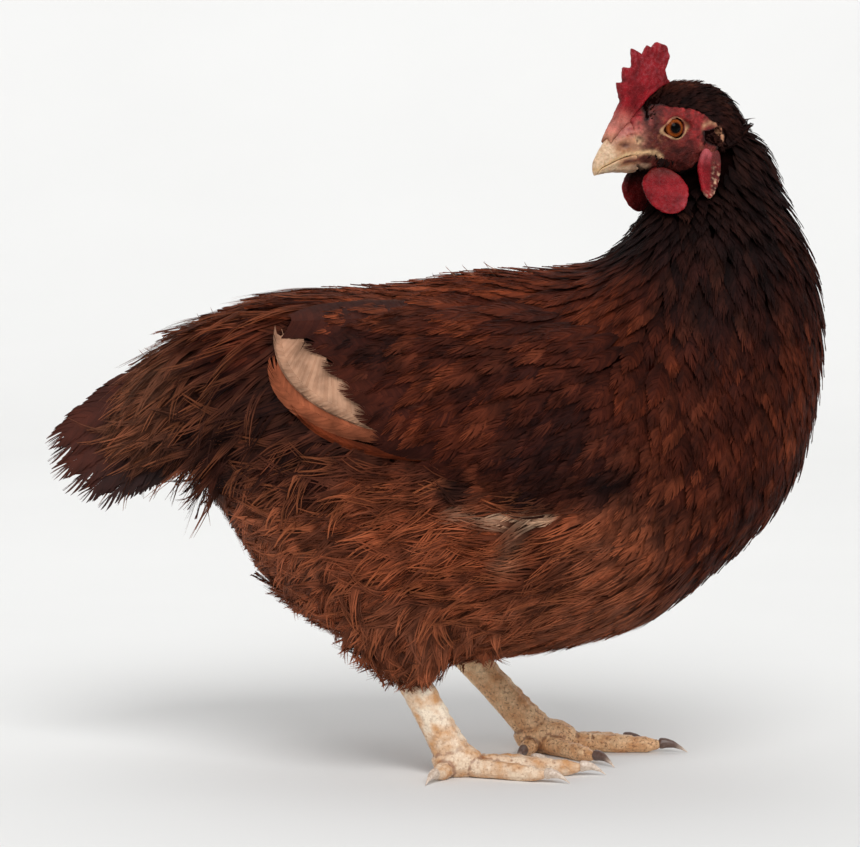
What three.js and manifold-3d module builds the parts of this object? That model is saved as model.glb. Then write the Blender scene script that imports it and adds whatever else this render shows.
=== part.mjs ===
// A hen, life size, standing and looking back over its right shoulder.
// Millimetres, +Z up. The body faces +X and its left side is +Y. The feet stand on z = 0.
import * as THREE from "three";
import { mergeVertices } from "three/addons/utils/BufferGeometryUtils.js";
import Module from "manifold-3d";

const wasm = await Module();
wasm.setup();

const GAP = 0.3; // left between pieces that touch
const SIDES = { left: 1, right: -1 };
const vec = (x, y, z) => new THREE.Vector3(x, y, z);
const lerp = THREE.MathUtils.lerp;

// ---------------------------------------------------------------- colours

const material = (color, roughness) => new THREE.MeshStandardMaterial({ color, roughness, metalness: 0 });
const plumage = material(0x5a2614, 0.8);
const darkPlumage = material(0x33140c, 0.75);
const quill = material(0xb98255, 0.6);
const redSkin = material(0xa31f24, 0.6);
const horn = material(0xd8b98c, 0.45);
const scaledSkin = material(0xc9a270, 0.6);
const clawHorn = material(0xcbb6a0, 0.4);
const iris = material(0x9a4a16, 0.15);

// ---------------------------------------------------------------- solids from three.js shapes

const MERGE = 1e-4; // points nearer than this are one point
const HALF_SPACE = 1200; // side of the block that stands for a half space

// A closed geometry as a manifold-3d solid that faces out.
function solid(geometry) {
  const bare = geometry.clone();
  bare.deleteAttribute("normal");
  bare.deleteAttribute("uv");
  const merged = mergeVertices(bare, MERGE);
  const vertProperties = new Float32Array(merged.attributes.position.array);
  const build = (triVerts) => new wasm.Manifold(new wasm.Mesh({ numProp: 3, vertProperties, triVerts }));
  const made = build(new Uint32Array(merged.index.array));
  return made.volume() > 0 ? made : build(new Uint32Array(merged.index.array).reverse());
}

const union = (...solids) => solids.reduce((all, one) => all.add(one));

// The largest closed surface of a solid, as a geometry. A scrap or a sealed hollow is dropped,
// and so are the slivers that joining leaves.
const SLIVER = 0.03;
function largest(made) {
  const pieces = made
    .simplify(SLIVER)
    .decompose()
    .sort((a, b) => b.volume() - a.volume());
  const mesh = pieces[0].getMesh();
  const geometry = new THREE.BufferGeometry();
  geometry.setAttribute("position", new THREE.BufferAttribute(new Float32Array(mesh.vertProperties), 3));
  geometry.setIndex(new THREE.BufferAttribute(new Uint32Array(mesh.triVerts), 1));
  return geometry;
}

// A closed skin through rings of points, with a fan over each end.
function loft(rings) {
  const count = rings[0].length;
  const points = rings.flat();
  const faces = [];
  for (let i = 0; i + 1 < rings.length; i++)
    for (let k = 0; k < count; k++) {
      const next = (k + 1) % count;
      const [a, b, c, d] = [i * count + k, i * count + next, (i + 1) * count + next, (i + 1) * count + k];
      faces.push(a, b, c, a, c, d);
    }
  for (const [start, first, step] of [
    [0, 1, 0],
    [(rings.length - 1) * count, 0, 1],
  ]) {
    const centre = vec();
    for (let k = 0; k < count; k++) centre.addScaledVector(points[start + k], 1 / count);
    points.push(centre);
    for (let k = 0; k < count; k++)
      faces.push(points.length - 1, start + ((k + first) % count), start + ((k + step) % count));
  }
  return new THREE.BufferGeometry().setFromPoints(points).setIndex(faces);
}

// An oval ring round centre, with half-axes a and b.
function oval(centre, a, b, count) {
  return Array.from({ length: count }, (_, k) => {
    const angle = (2 * Math.PI * k) / count;
    return centre.clone().addScaledVector(a, Math.cos(angle)).addScaledVector(b, Math.sin(angle));
  });
}

// A smooth curve through rows of numbers, read at t from 0 to 1.
function spline(rows) {
  const curves = [];
  for (let i = 0; i < rows[0].length; i += 3)
    curves.push(
      new THREE.CatmullRomCurve3(
        rows.map((r) => vec(r[i], r[i + 1] ?? 0, r[i + 2] ?? 0)),
        false,
        "catmullrom",
        0.5,
      ),
    );
  return (t) => curves.flatMap((c) => c.getPoint(t).toArray()).slice(0, rows[0].length);
}

// Everything on the side of a plane that its normal points to.
function halfSpace(point, normal) {
  const box = new THREE.BoxGeometry(HALF_SPACE, HALF_SPACE, HALF_SPACE);
  box.translate(0, 0, HALF_SPACE / 2);
  box.applyQuaternion(new THREE.Quaternion().setFromUnitVectors(vec(0, 0, 1), normal.clone().normalize()));
  box.translate(point.x, point.y, point.z);
  return solid(box);
}

function ellipsoid(centre, radii, widthSegments = 14, heightSegments = 10) {
  const ball = new THREE.SphereGeometry(1, widthSegments, heightSegments);
  ball.scale(radii.x, radii.y, radii.z);
  ball.translate(centre.x, centre.y, centre.z);
  return ball;
}

// A vane from its root to its tip. Each row holds its four corners: top left, top right, bottom right,
// bottom left. Both faces are split into triangles alike.
function vane(rows) {
  const faces = [];
  const quad = (a, b, c, d) => faces.push(a, b, c, a, c, d);
  for (let i = 0; i + 1 < rows.length; i++) {
    const [a, b] = [4 * i, 4 * i + 4];
    quad(a, a + 1, b + 1, b);
    quad(a + 1, a + 2, b + 2, b + 1);
    faces.push(a + 3, b + 2, a + 2, a + 3, b + 3, b + 2);
    quad(a + 3, a, b, b + 3);
  }
  const last = 4 * (rows.length - 1);
  quad(3, 2, 1, 0);
  quad(last, last + 1, last + 2, last + 3);
  return new THREE.BufferGeometry().setFromPoints(rows.flat()).setIndex(faces);
}

// Where a vane's rows lie along it, and how wide it is there.
const VANE_ROWS = [
  [0, 0.5],
  [0.4, 0.95],
  [0.78, 1],
  [0.94, 0.72],
  [1, 0.3],
];

// A repeatable draw from 0 to 1.
function dice(seed) {
  let state = seed;
  return () => {
    state = (state * 1664525 + 1013904223) % 4294967296;
    return state / 4294967296;
  };
}

// ---------------------------------------------------------------- body and neck

// Sections from the rump to the nape: back x and z, belly or breast x and z, half-width, sideways shift.
const BODY_SECTIONS = [
  [-124, 214, -131, 168, 20, 0],
  [-113, 236, -121, 146, 46, 0],
  [-92, 247, -98, 112, 64, 0],
  [-62, 254, -64, 80, 78, 0],
  [-20, 257, -24, 62, 88, 0],
  [25, 265, 20, 56, 92, 0],
  [62, 266, 70, 64, 93, 0],
  [85, 270, 115, 78, 91, 0],
  [97, 277, 149, 103, 86, 0],
  [104, 284, 178, 134, 78, 0],
  [108, 291, 196, 171, 69, 0],
  [111, 298, 207, 213, 60, 0],
  [115, 306, 207, 252, 49, 1],
  [120, 313, 198, 282, 37, 4],
  [125, 320, 187, 306, 28.5, 10],
  [131, 333, 179, 327, 23, 12],
  [138, 341, 168, 339, 14, 10],
];
const BODY_RINGS = 34;
const BODY_SIDES = 26;
const bodySection = spline(BODY_SECTIONS);

// A point on a form made of such sections: t runs along it, angle from the back (0) round the left side.
function sectionPoint(section, t, angle, out = 0) {
  const [backX, backZ, bellyX, bellyZ, halfWidth, shift = 0] = section(t);
  const centre = vec((backX + bellyX) / 2, shift, (backZ + bellyZ) / 2);
  const up = vec((backX - bellyX) / 2, 0, (backZ - bellyZ) / 2);
  up.setLength(up.length() + out);
  return centre.addScaledVector(up, Math.cos(angle)).add(vec(0, (halfWidth + out) * Math.sin(angle), 0));
}

// A closed form through such sections, up to a share of their length.
function sectionLoft(section, count, sides, out = 0, end = 1) {
  const rings = [];
  for (let i = 0; i <= count; i++) {
    const t = (end * i) / count;
    const ring = Array.from({ length: sides }, (_, k) => (2 * Math.PI * k) / sides);
    rings.push(ring.map((angle) => sectionPoint(section, t, angle, out)));
  }
  return loft(rings);
}

const bodyGeometry = (out = 0) => sectionLoft(bodySection, BODY_RINGS, BODY_SIDES, out);

// A form made of sections, seen from one side: the point at (x, z) on it, moved out along its normal.
// way is 1 where the sections run forward along the body, -1 where they run back.
const HALVINGS = 20;
const EDGE_ON = 0.97; // nearest to the back or belly that such a point may lie, from 0 to 1
const NUDGE = 1e-3;
function sideOf(section, span, way) {
  return (side, x, z, out) => {
    let [low, high] = [0, span];
    for (let i = 0; i < HALVINGS; i++) {
      const t = (low + high) / 2;
      const [backX, backZ, bellyX, bellyZ] = section(t);
      const ahead = ((backX - bellyX) * (z - bellyZ) - (backZ - bellyZ) * (x - bellyX)) * way < 0;
      if (ahead) low = t;
      else high = t;
    }
    const [backX, backZ, bellyX, bellyZ] = section(low);
    const [dx, dz] = [backX - bellyX, backZ - bellyZ];
    const height = ((x - bellyX) * dx + (z - bellyZ) * dz) / (dx * dx + dz * dz);
    const angle = Math.acos(THREE.MathUtils.clamp(2 * height - 1, -EDGE_ON, EDGE_ON));
    const at = sectionPoint(section, low, angle);
    const along = sectionPoint(section, low + NUDGE, angle).sub(at);
    const around = sectionPoint(section, low, angle + NUDGE).sub(at);
    const normal = around.cross(along).normalize();
    if (normal.y < 0) normal.negate();
    at.addScaledVector(normal, out);
    return vec(at.x, side * at.y, at.z);
  };
}
const FLANK_END = 0.75; // share of the body's sections that the flank takes in, below the neck
const flank = sideOf(bodySection, FLANK_END, 1);

// ---------------------------------------------------------------- head, in its own axes

// The head is turned back by HEAD_TURN from straight ahead, over the right shoulder.
// Its own axes are forward to the beak, left, and up, from a point between the ears.
const HEAD_CENTRE = vec(133.2, -3.5, 335.5);
const HEAD_TURN = THREE.MathUtils.degToRad(-137);
const headFrame = new THREE.Matrix4().makeRotationZ(HEAD_TURN).setPosition(HEAD_CENTRE);
const inHead = (geometry) => geometry.applyMatrix4(headFrame);
const headPoint = (forward, left, up) => vec(forward, left, up).applyMatrix4(headFrame);
const headDirection = (forward, left, up) => vec(forward, left, up).transformDirection(headFrame);

// Sections: forward, top, bottom, half-width.
const HEAD_SECTIONS = [
  [-32, 7, -15, 9],
  [-28, 18, -22, 16.5],
  [-20, 25, -27, 21],
  [-10, 28, -29, 22],
  [0, 28.5, -27, 20.5],
  [8, 28, -23, 18],
  [15.5, 26, -20, 16],
  [23, 21, -19, 13.5],
  [30, 15, -18.5, 11],
  [37, 9, -17, 8.6],
];
const BEAK_SECTIONS = [
  [24, 12, -17, 8],
  [32, 10.5, -18.5, 8.6],
  [40, 6.5, -19, 7.8],
  [46, 2, -18.8, 6.2],
  [51, -3, -19.2, 4.6],
  [56, -9.5, -20, 2.9],
  [60, -17, -21, 0.9],
];
const HEAD_MESH = [10, 18]; // rings along, points round
const BEAK_MESH = [8, 12];
const EYE = { forward: 15.5, left: 10.6, up: 4, radius: 6.9 };
const LID = { radius: 6.5, tube: 1.5, left: 14.6, squash: 0.86 };
const EAR = { forward: -7, left: 19.5, up: 2, radius: 3.6, tube: 1.3 };
const EAR_HOLE = vec(2.6, 4, 3); // half sizes
const NOSTRIL = { forward: 39.5, left: 7.2, up: 0.5, tilt: 0.35, radii: vec(2.6, 2.2, 0.9) };
// The line of the closed mouth, from its corner to the hook of the upper beak: forward, up.
const MOUTH = [
  [17, -12.5],
  [24, -9.6],
  [31, -8.8],
  [42, -10.6],
  [50, -14],
  [56, -18],
  [57.5, -30],
];
const MOUTH_CORNER = 18.5;
const MOUTH_STEPS = 24;
const MOUTH_GAP = { head: 0.35, beak: 0.15 }; // half the slit in the head, and between the beak's halves
const JAW = { above: 60, below: 40, across: 60 }; // reach of the slabs that part the beak

function headLoft(sections, [count, sides], out = 0) {
  const section = spline(sections);
  const rings = [];
  for (let i = 0; i <= count; i++) {
    const [forward, top, bottom, half] = section(i / count);
    const centre = vec(forward, 0, (top + bottom) / 2);
    rings.push(oval(centre, vec(0, half + out, 0), vec(0, 0, (top - bottom) / 2 + out), sides));
  }
  return inHead(loft(rings));
}

// A slab along the mouth's line, from its lower edge to its upper edge, wide enough to cut the head.
function mouthSlab(below, above, from = MOUTH[0][0]) {
  const line = new THREE.SplineCurve(MOUTH.map(([f, u]) => new THREE.Vector2(f, u)))
    .getPoints(MOUTH_STEPS)
    .filter((p) => p.x >= from);
  const far = line.length - 1;
  const outline = [
    ...line.map((p) => new THREE.Vector2(p.x, p.y + below)),
    new THREE.Vector2(line[far].x, line[far].y + above),
    ...line.reverse().map((p) => new THREE.Vector2(p.x, p.y + above)),
  ];
  const shape = new THREE.Shape(outline);
  const slab = new THREE.ExtrudeGeometry(shape, { depth: JAW.across, bevelEnabled: false, steps: 1 });
  slab.translate(0, 0, -JAW.across / 2);
  slab.rotateX(Math.PI / 2);
  return inHead(slab);
}

function eyeGeometry(side, out = 0) {
  const radius = EYE.radius + out;
  const ball = ellipsoid(vec(0, 0, 0), vec(radius, radius, radius), 12, 8);
  ball.translate(EYE.forward, side * EYE.left, EYE.up);
  return inHead(ball);
}

// A rounded rim that stands proud of the face, its hole facing sideways.
function rim(side, { forward, left, up, radius, tube, squash = 1 }) {
  const ring = new THREE.TorusGeometry(radius, tube, 5, 12);
  ring.rotateX(Math.PI / 2);
  ring.scale(1, 1, squash);
  ring.translate(forward, side * left, up);
  return inHead(ring);
}

// ---------------------------------------------------------------- comb, wattles and lobes

// The comb's edge from its front root over its points to its back root: forward, up.
const COMB_EDGE = [
  [50, -3],
  [44, 9],
  [39.5, 18],
  [42.5, 27.5],
  [38, 27],
  [38.5, 35],
  [33, 34.5],
  [33.5, 45],
  [26.5, 41],
  [23.5, 46.5],
  [20.5, 45],
  [17.5, 48],
  [11.5, 46],
  [9.5, 41],
  [12.5, 34],
  [9, 22],
];
const COMB_ROOT = [
  [16, 14],
  [30, 4],
  [40, -6],
];
// Thickness at the base and the tips, the heights they are at, and the blade's own depth with its bevel.
const COMB = { base: 7.5, tip: 2.6, foot: 4, crest: 48, depth: 0.5, bevel: 0.25, rounding: 0.4 };

function combGeometry() {
  const outline = [...COMB_EDGE, ...COMB_ROOT].map(([f, u]) => new THREE.Vector2(f, u));
  const blade = new THREE.ExtrudeGeometry(new THREE.Shape(outline), {
    depth: COMB.depth,
    steps: 1,
    bevelThickness: COMB.bevel,
    bevelSize: COMB.rounding,
    bevelSegments: 1,
  });
  blade.translate(0, 0, -COMB.depth / 2);
  const { position } = blade.attributes;
  for (let i = 0; i < position.count; i++) {
    const height = THREE.MathUtils.clamp((position.getY(i) - COMB.foot) / (COMB.crest - COMB.foot), 0, 1);
    const thickness = lerp(COMB.base, COMB.tip, height);
    // Stand the blade up: its outline lies along the head, its thickness across.
    position.setXYZ(i, position.getX(i), -position.getZ(i) * thickness, position.getY(i));
  }
  return inHead(blade);
}

const WATTLE = { forward: 18, left: 10.5, up: -28, long: 14.5, thick: 2.6, deep: 15.5, splay: 0.14 };
const LOBE = { forward: -5.5, left: 23.5, up: -17.5, long: 6.2, thick: 3.2, deep: 13.5, splay: 0.12 };

function flap(side, { forward, left, up, long, thick, deep, splay = 0 }, out = 0) {
  const disc = ellipsoid(vec(0, 0, 0), vec(long + out, thick + out, deep + out), 10, 8);
  disc.rotateX(side * splay);
  disc.translate(forward, side * left, up);
  return inHead(disc);
}

// ---------------------------------------------------------------- legs

// Each leg's ankle, the way its shank leans, the turns of its foot and of two toes in degrees, the pad
// under the ankle, and the top of its thigh.
const LEGS = {
  right: {
    ankle: vec(16.5, -35, 12),
    lean: vec(-0.48, 0, 0.877),
    turn: 8,
    innerTurn: 36,
    hindTurn: -106,
    pad: { radius: vec(14, 9.8, 9.8), forward: 3, up: 8 },
    thighTop: vec(-22, -55, 150),
  },
  left: {
    ankle: vec(51.5, 43, 12),
    lean: vec(-0.68, 0, 0.733),
    turn: 6,
    innerTurn: -42,
    hindTurn: -100,
    pad: { radius: vec(18, 11, 10.5), forward: 6, up: 8.5 },
    thighTop: vec(-12, 56, 150),
  },
};
// The shank starts below the ankle by its sink, and swells at both ends.
const SHANK = { length: 62, sink: 4, front: 8.2, side: 6.6, sides: 10, scutes: 11, foot: 0.28, top: 0.1 };
const SCUTE = { low: 0.1, high: 0.75, front: 0.2 };
// The feathered thigh from its top, inside the flank, to its end on the shank: share of the way, radii
// along and across.
const THIGH_SECTIONS = [
  [0, 12, 10],
  [0.1, 34, 26],
  [0.3, 47, 36],
  [0.55, 41, 31],
  [0.8, 26, 21],
  [0.94, 17, 15],
  [1, 12, 11],
];
const THIGH_END = 47;
const thighSection = spline(THIGH_SECTIONS);
// Toes: heading, length to the claw, radius at the root and at the claw.
const OUTER_TURN = 22;
const TOES = {
  middle: { heading: (leg) => leg.turn, length: 68, root: 6, end: 4.2, scutes: 9 },
  inner: { heading: (leg) => leg.innerTurn, length: 49, root: 5.4, end: 3.9, scutes: 7 },
  outer: { heading: (leg, side) => leg.turn + side * OUTER_TURN, length: 53, root: 5.4, end: 3.9, scutes: 7 },
  hind: { heading: (leg) => leg.hindTurn, length: 21, root: 4.6, end: 3.7, scutes: 3 },
};
// A toe's middle line lies at these shares of its radius. Its joints swell, and its end draws in.
const TOE = { sides: 8, rootUp: 1.05, endUp: 0.9, joints: 3, swell: 0.08, endFrom: 0.95, endShare: 0.8 };
const CLAW = { length: 13, overlap: 1, root: 2.7, tip: 0.35, up: 1.15, bow: 1.2, tipUp: 0.7, narrow: 0.8 };

const SCUTE_EDGE = 0.02; // share of a plate that its step to the next one takes

// Rows of a leg or toe under its scutes: each plate starts low and stands out at its far edge.
function scuteRows(count) {
  const rows = [];
  for (let i = 0; i < count; i++)
    rows.push([(i + SCUTE_EDGE) / count, SCUTE.low], [(i + 1 - SCUTE_EDGE) / count, SCUTE.high]);
  return rows;
}

function shankGeometry({ ankle, lean }, out = 0) {
  const forward = vec(lean.z, 0, -lean.x);
  const rings = scuteRows(SHANK.scutes).map(([along, raise]) => {
    // The plates overlap down the shank, so its rows run from the top.
    const t = 1 - along;
    const swell = 1 + SHANK.foot * Math.pow(1 - t, 4) + SHANK.top * t * t;
    const centre = ankle.clone().addScaledVector(lean, lerp(-SHANK.sink, SHANK.length, t));
    const plate = (angle) => (Math.cos(angle) > SCUTE.front ? raise : 0);
    return Array.from({ length: SHANK.sides }, (_, k) => {
      const angle = (2 * Math.PI * k) / SHANK.sides;
      const radius = swell + (plate(angle) + out) / SHANK.side;
      return centre
        .clone()
        .addScaledVector(forward, SHANK.front * radius * Math.cos(angle))
        .add(vec(0, SHANK.side * radius * Math.sin(angle), 0));
    });
  });
  return loft(rings);
}

function thighGeometry({ ankle, lean, thighTop }, out = 0) {
  const end = ankle.clone().addScaledVector(lean, (THIGH_END - ankle.z) / lean.z);
  const rings = [];
  const steps = 11;
  for (let i = 0; i <= steps; i++) {
    const [t, long, wide] = thighSection(i / steps);
    rings.push(oval(thighTop.clone().lerp(end, t), vec(long + out, 0, 0), vec(0, wide + out, 0), 18));
  }
  return loft(rings);
}

function padGeometry({ ankle, pad }, out = 0) {
  const centre = vec(ankle.x + pad.forward, ankle.y, pad.up);
  return ellipsoid(centre, pad.radius.clone().addScalar(out), 12, 8);
}

// A toe lies along the floor from the pad, and ends in its claw.
function toeLine(leg, side, { heading, length }) {
  const angle = THREE.MathUtils.degToRad(heading(leg, side));
  const direction = vec(Math.cos(angle), Math.sin(angle), 0);
  const root = vec(leg.ankle.x, leg.ankle.y, 0);
  return { direction, root, length };
}

function toeGeometry(leg, side, toe, out = 0) {
  const { direction, root, length } = toeLine(leg, side, toe);
  const across = vec(-direction.y, direction.x, 0);
  const rings = scuteRows(toe.scutes).map(([t, raise]) => {
    const swell = 1 + TOE.swell * Math.cos(TOE.joints * Math.PI * 2 * t);
    const radius = lerp(toe.root, toe.end, t) * swell * (t > TOE.endFrom ? TOE.endShare : 1);
    const centre = root.clone().addScaledVector(direction, length * t);
    centre.z = lerp(toe.root * TOE.rootUp, toe.end * TOE.endUp, t);
    return Array.from({ length: TOE.sides }, (_, k) => {
      const angle = (2 * Math.PI * (k + 0.5)) / TOE.sides;
      const reach = radius + out + (Math.sin(angle) > SCUTE.front ? raise : 0);
      return centre
        .clone()
        .addScaledVector(across, reach * Math.cos(angle))
        .add(vec(0, 0, reach * Math.sin(angle)));
    });
  });
  return loft(rings);
}

function clawGeometry(leg, side, toe) {
  const { direction, root, length } = toeLine(leg, side, toe);
  const across = vec(-direction.y, direction.x, 0);
  const rings = [];
  const steps = 4;
  for (let i = 0; i <= steps; i++) {
    const t = i / steps;
    const radius = lerp(CLAW.root, CLAW.tip, t);
    const height = toe.end * CLAW.up;
    const centre = root.clone().addScaledVector(direction, length - CLAW.overlap + CLAW.length * t);
    centre.z = height + CLAW.bow * Math.sin(Math.PI * t) - (height - CLAW.tipUp) * t * t;
    rings.push(oval(centre, across.clone().multiplyScalar(radius * CLAW.narrow), vec(0, 0, radius), 6));
  }
  return loft(rings);
}

// ---------------------------------------------------------------- wings

// A closed patch laid over one flank: outline(u, v) gives its x and z, and inner and outer its two distances.
function flankPatch(side, columns, rows, outline, inner, outer) {
  const rings = [];
  for (let i = 0; i <= columns; i++) {
    const ring = [];
    for (let k = 0; k <= rows; k++) {
      const [x, z] = outline(i / columns, k / rows);
      ring.push(flank(side, x, z, outer(i / columns, k / rows)));
    }
    for (let k = rows; k >= 0; k--) {
      const [x, z] = outline(i / columns, k / rows);
      ring.push(flank(side, x, z, inner(i / columns, k / rows)));
    }
    rings.push(ring);
  }
  return loft(rings);
}

// The wing's shoulder, under its feathers, in side view: x, top z, bottom z, distance out from the flank.
// It steps down where a tier of feathers leaves it.
const SHOULDER_SECTIONS = [
  [141, 213, 191, 3],
  [133, 233, 176, 10],
  [117, 245, 165, 13.5],
  [102, 250, 160, 13],
  [90, 252, 158, 8.4],
  [62, 254, 158, 8.2],
  [51, 253, 159, 7.8],
  [39, 251, 163, 4.4],
  [10, 247, 172, 4.2],
  [-3, 243, 180, 3.6],
];
const WING_INNER = GAP + 0.35;
// Where the shoulder's outer and inner faces are sampled, from its lower edge to its upper one.
const OUTER_ROWS = [0, 0.1, 0.35, 0.65, 0.9, 1];
const INNER_ROWS = [1, 0.88, 0.74, 0.58, 0.42, 0.26, 0.12, 0];
const EDGE_OUT = 0.8; // how far the shoulder's edges stand out from its inner face

function shoulderGeometry(side) {
  const rings = SHOULDER_SECTIONS.map(([x, top, bottom, out]) => {
    const crown = (v) => lerp(WING_INNER + EDGE_OUT, out, Math.sqrt(1 - Math.pow(2 * v - 1, 6)));
    const outer = OUTER_ROWS.map((v) => flank(side, x, lerp(bottom, top, v), crown(v)));
    const inner = INNER_ROWS.map((v) => flank(side, x, lerp(bottom, top, v), WING_INNER));
    return [...outer, ...inner];
  });
  return loft(rings);
}

// Feathers of the folded wing, tier by tier from the body out. The first lies lowest and the last highest.
// root and tip are x and z of the first and last feather, out the distance from the flank at root and tip,
// and lift how far the lower edge stands out over the next feather down.
const WING_TIERS = [
  {
    count: 6,
    root: [[36, 182], [26, 222]],
    tip: [[-24, 176], [-76, 233]],
    width: [15, 18],
    out: [1.4, 1.4],
    lift: 1.2,
    thick: 0.6,
    sweep: 6,
  },
  {
    count: 7,
    root: [[66, 172], [56, 240]],
    tip: [[-6, 166], [-68, 243]],
    width: [18, 19],
    out: [5, 4.4],
    lift: 1.5,
    thick: 0.7,
    sweep: 5,
  },
  {
    count: 7,
    root: [[110, 174], [104, 240]],
    tip: [[30, 160], [0, 244]],
    width: [18, 19],
    out: [9.3, 8.5],
    lift: 1.5,
    thick: 0.7,
    sweep: 5,
  },
];

const TIP_SPREAD = 6; // how far feather tips of one tier differ in length

// One feather laid on a surface from root to tip, its middle swept down.
function layVane(surface, side, { root, tip, width, out, lift, thick, sweep, dive = 0 }) {
  const along = [tip[0] - root[0], tip[1] - root[1]];
  const length = Math.hypot(...along);
  const across = [-along[1] / length, along[0] / length]; // points down
  return vane(
    VANE_ROWS.map(([t, share]) => {
      const bow = sweep * Math.sin(Math.PI * t);
      const x = root[0] + along[0] * t + across[0] * bow;
      const z = root[1] + along[1] * t + across[1] * bow;
      const half = (width * share) / 2;
      const base = lerp(out[0], out[1], t) - (t === 0 ? dive : 0);
      const corner = (way, up) => {
        const raise = base + (way > 0 ? lift * share : 0) + up;
        return surface(side, x + across[0] * half * way, z + across[1] * half * way, raise);
      };
      return [corner(-1, thick), corner(1, thick), corner(1, 0), corner(-1, 0)];
    }),
  );
}

// The feathers of some tiers on one side, each tip drawn a little longer or shorter.
function layTiers(tiers, surface, side, draw) {
  return tiers.flatMap(({ count, root, tip, width, ...tier }) =>
    Array.from({ length: count }, (_, k) => {
      const t = k / (count - 1);
      const mix = ([a, b]) => [lerp(a[0], b[0], t), lerp(a[1], b[1], t)];
      const end = mix(tip);
      end[0] += TIP_SPREAD * (draw() - 0.5);
      const row = { ...tier, root: mix(root), tip: end, width: lerp(width[0], width[1], t) };
      return layVane(surface, side, row);
    }),
  );
}

// ---------------------------------------------------------------- tail

// The form over the tail's coverts, from inside the rump out: back x and z, belly x and z, half-width.
const TAIL_SECTIONS = [
  [-90, 246, -106, 158, 45],
  [-106, 243, -121, 152, 44],
  [-124, 234, -135, 154, 37],
  [-140, 223, -148, 158, 30],
  [-157, 213, -160, 158, 25],
  [-176, 203, -174, 158, 21],
];
const tailSection = spline(TAIL_SECTIONS);
const tailSide = sideOf(tailSection, 1, -1);
// The fleshy root and down lie this deep under the coverts and reach this share of their length.
const TAIL_ROOT = { depth: 5, end: 0.62, rings: 4, sides: 14 };

// The long feathers lie on two sloping planes that meet over the tail's ridge.
const RIDGE = { x: -216, y: 1.6, z: 184, rise: 0.36, slope: 0.4 };
const roof = (side, x, z, out) => {
  const below = RIDGE.z + (x - RIDGE.x) * RIDGE.rise - z;
  return vec(x, side * (RIDGE.y + RIDGE.slope * below + out), z + RIDGE.slope * out);
};

const TAIL_TIERS = [
  {
    count: 6,
    root: [[-118, 178], [-108, 212]],
    tip: [[-173, 147], [-215, 178]],
    width: [20, 23],
    out: [0, 0],
    lift: 2,
    thick: 0.8,
    sweep: 3,
  },
];
const TAIL_COVERTS = [
  {
    count: 4,
    root: [[-124, 182], [-120, 226]],
    tip: [[-158, 170], [-169, 202]],
    width: [20, 16],
    out: [0, 0],
    lift: 2,
    thick: 0.8,
    sweep: 2,
    dive: 8,
  },
  {
    count: 4,
    root: [[-110, 188], [-106, 232]],
    tip: [[-140, 174], [-146, 220]],
    width: [22, 16],
    out: [3.4, 3.2],
    lift: 2,
    thick: 0.8,
    sweep: 2,
    dive: 10,
  },
];

// ---------------------------------------------------------------- putting the hen together

const hen = new THREE.Group();

function addNode(name, made, finish) {
  const mesh = new THREE.Mesh(largest(made), finish);
  mesh.name = name;
  hen.add(mesh);
  return mesh;
}

// Body, neck, head and the tail's root are one form, parted at the neck's base, behind the ears and
// across the rump.
const NECK_CUT = { point: vec(88, 0, 276), normal: vec(54, 0, 126).normalize() };
const HEAD_CUT = { point: headPoint(-10, 0, -9), normal: headDirection(0.53, 0, 0.85) };
const TAIL_CUT = { point: vec(-103, 0, 200), normal: vec(-0.97, 0, 0.24).normalize() };
const shifted = ({ point, normal }, distance) => point.clone().addScaledVector(normal, distance);
const above = (cut) => halfSpace(shifted(cut, GAP / 2), cut.normal);
const below = (cut) => halfSpace(shifted(cut, -GAP / 2), cut.normal.clone().negate());

const form = union(solid(bodyGeometry()), solid(headLoft(HEAD_SECTIONS, HEAD_MESH)));
const formClear = union(solid(bodyGeometry(GAP)), solid(headLoft(HEAD_SECTIONS, HEAD_MESH, GAP)));
const beak = solid(headLoft(BEAK_SECTIONS, BEAK_MESH));

addNode("torso", form.intersect(below(NECK_CUT)).intersect(below(TAIL_CUT)), plumage);
addNode("neck", form.intersect(above(NECK_CUT)).intersect(below(HEAD_CUT)), darkPlumage);

let head = form.intersect(above(NECK_CUT)).intersect(above(HEAD_CUT));
for (const side of Object.values(SIDES)) {
  head = head.add(solid(rim(side, { ...EYE, ...LID })));
  head = head.add(solid(rim(side, EAR)));
  head = head.subtract(solid(eyeGeometry(side, GAP)));
  const earHole = ellipsoid(vec(EAR.forward, side * EAR.left, EAR.up), EAR_HOLE, 8, 6);
  head = head.subtract(solid(inHead(earHole)));
}
head = head.subtract(solid(mouthSlab(-MOUTH_GAP.head, MOUTH_GAP.head, MOUTH_CORNER)));
addNode("head", head, redSkin);
const faceClear = union(
  formClear,
  ...Object.values(SIDES).map((side) => solid(rim(side, { ...EYE, ...LID, tube: LID.tube + GAP }))),
);

let upperBeak = beak.subtract(formClear).intersect(solid(mouthSlab(MOUTH_GAP.beak, JAW.above)));
const lowerBeak = beak.subtract(formClear).intersect(solid(mouthSlab(-JAW.below, -MOUTH_GAP.beak)));
for (const side of Object.values(SIDES)) {
  const slit = ellipsoid(vec(0, 0, 0), NOSTRIL.radii, 8, 4);
  slit.rotateY(NOSTRIL.tilt);
  slit.translate(NOSTRIL.forward, side * NOSTRIL.left, NOSTRIL.up);
  upperBeak = upperBeak.subtract(solid(inHead(slit)));
}
addNode("beak_upper", upperBeak, horn);
addNode("beak_lower", lowerBeak, horn);
const beakClear = solid(headLoft(BEAK_SECTIONS, BEAK_MESH, GAP));
addNode("comb", solid(combGeometry()).subtract(formClear).subtract(beakClear), redSkin);

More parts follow.
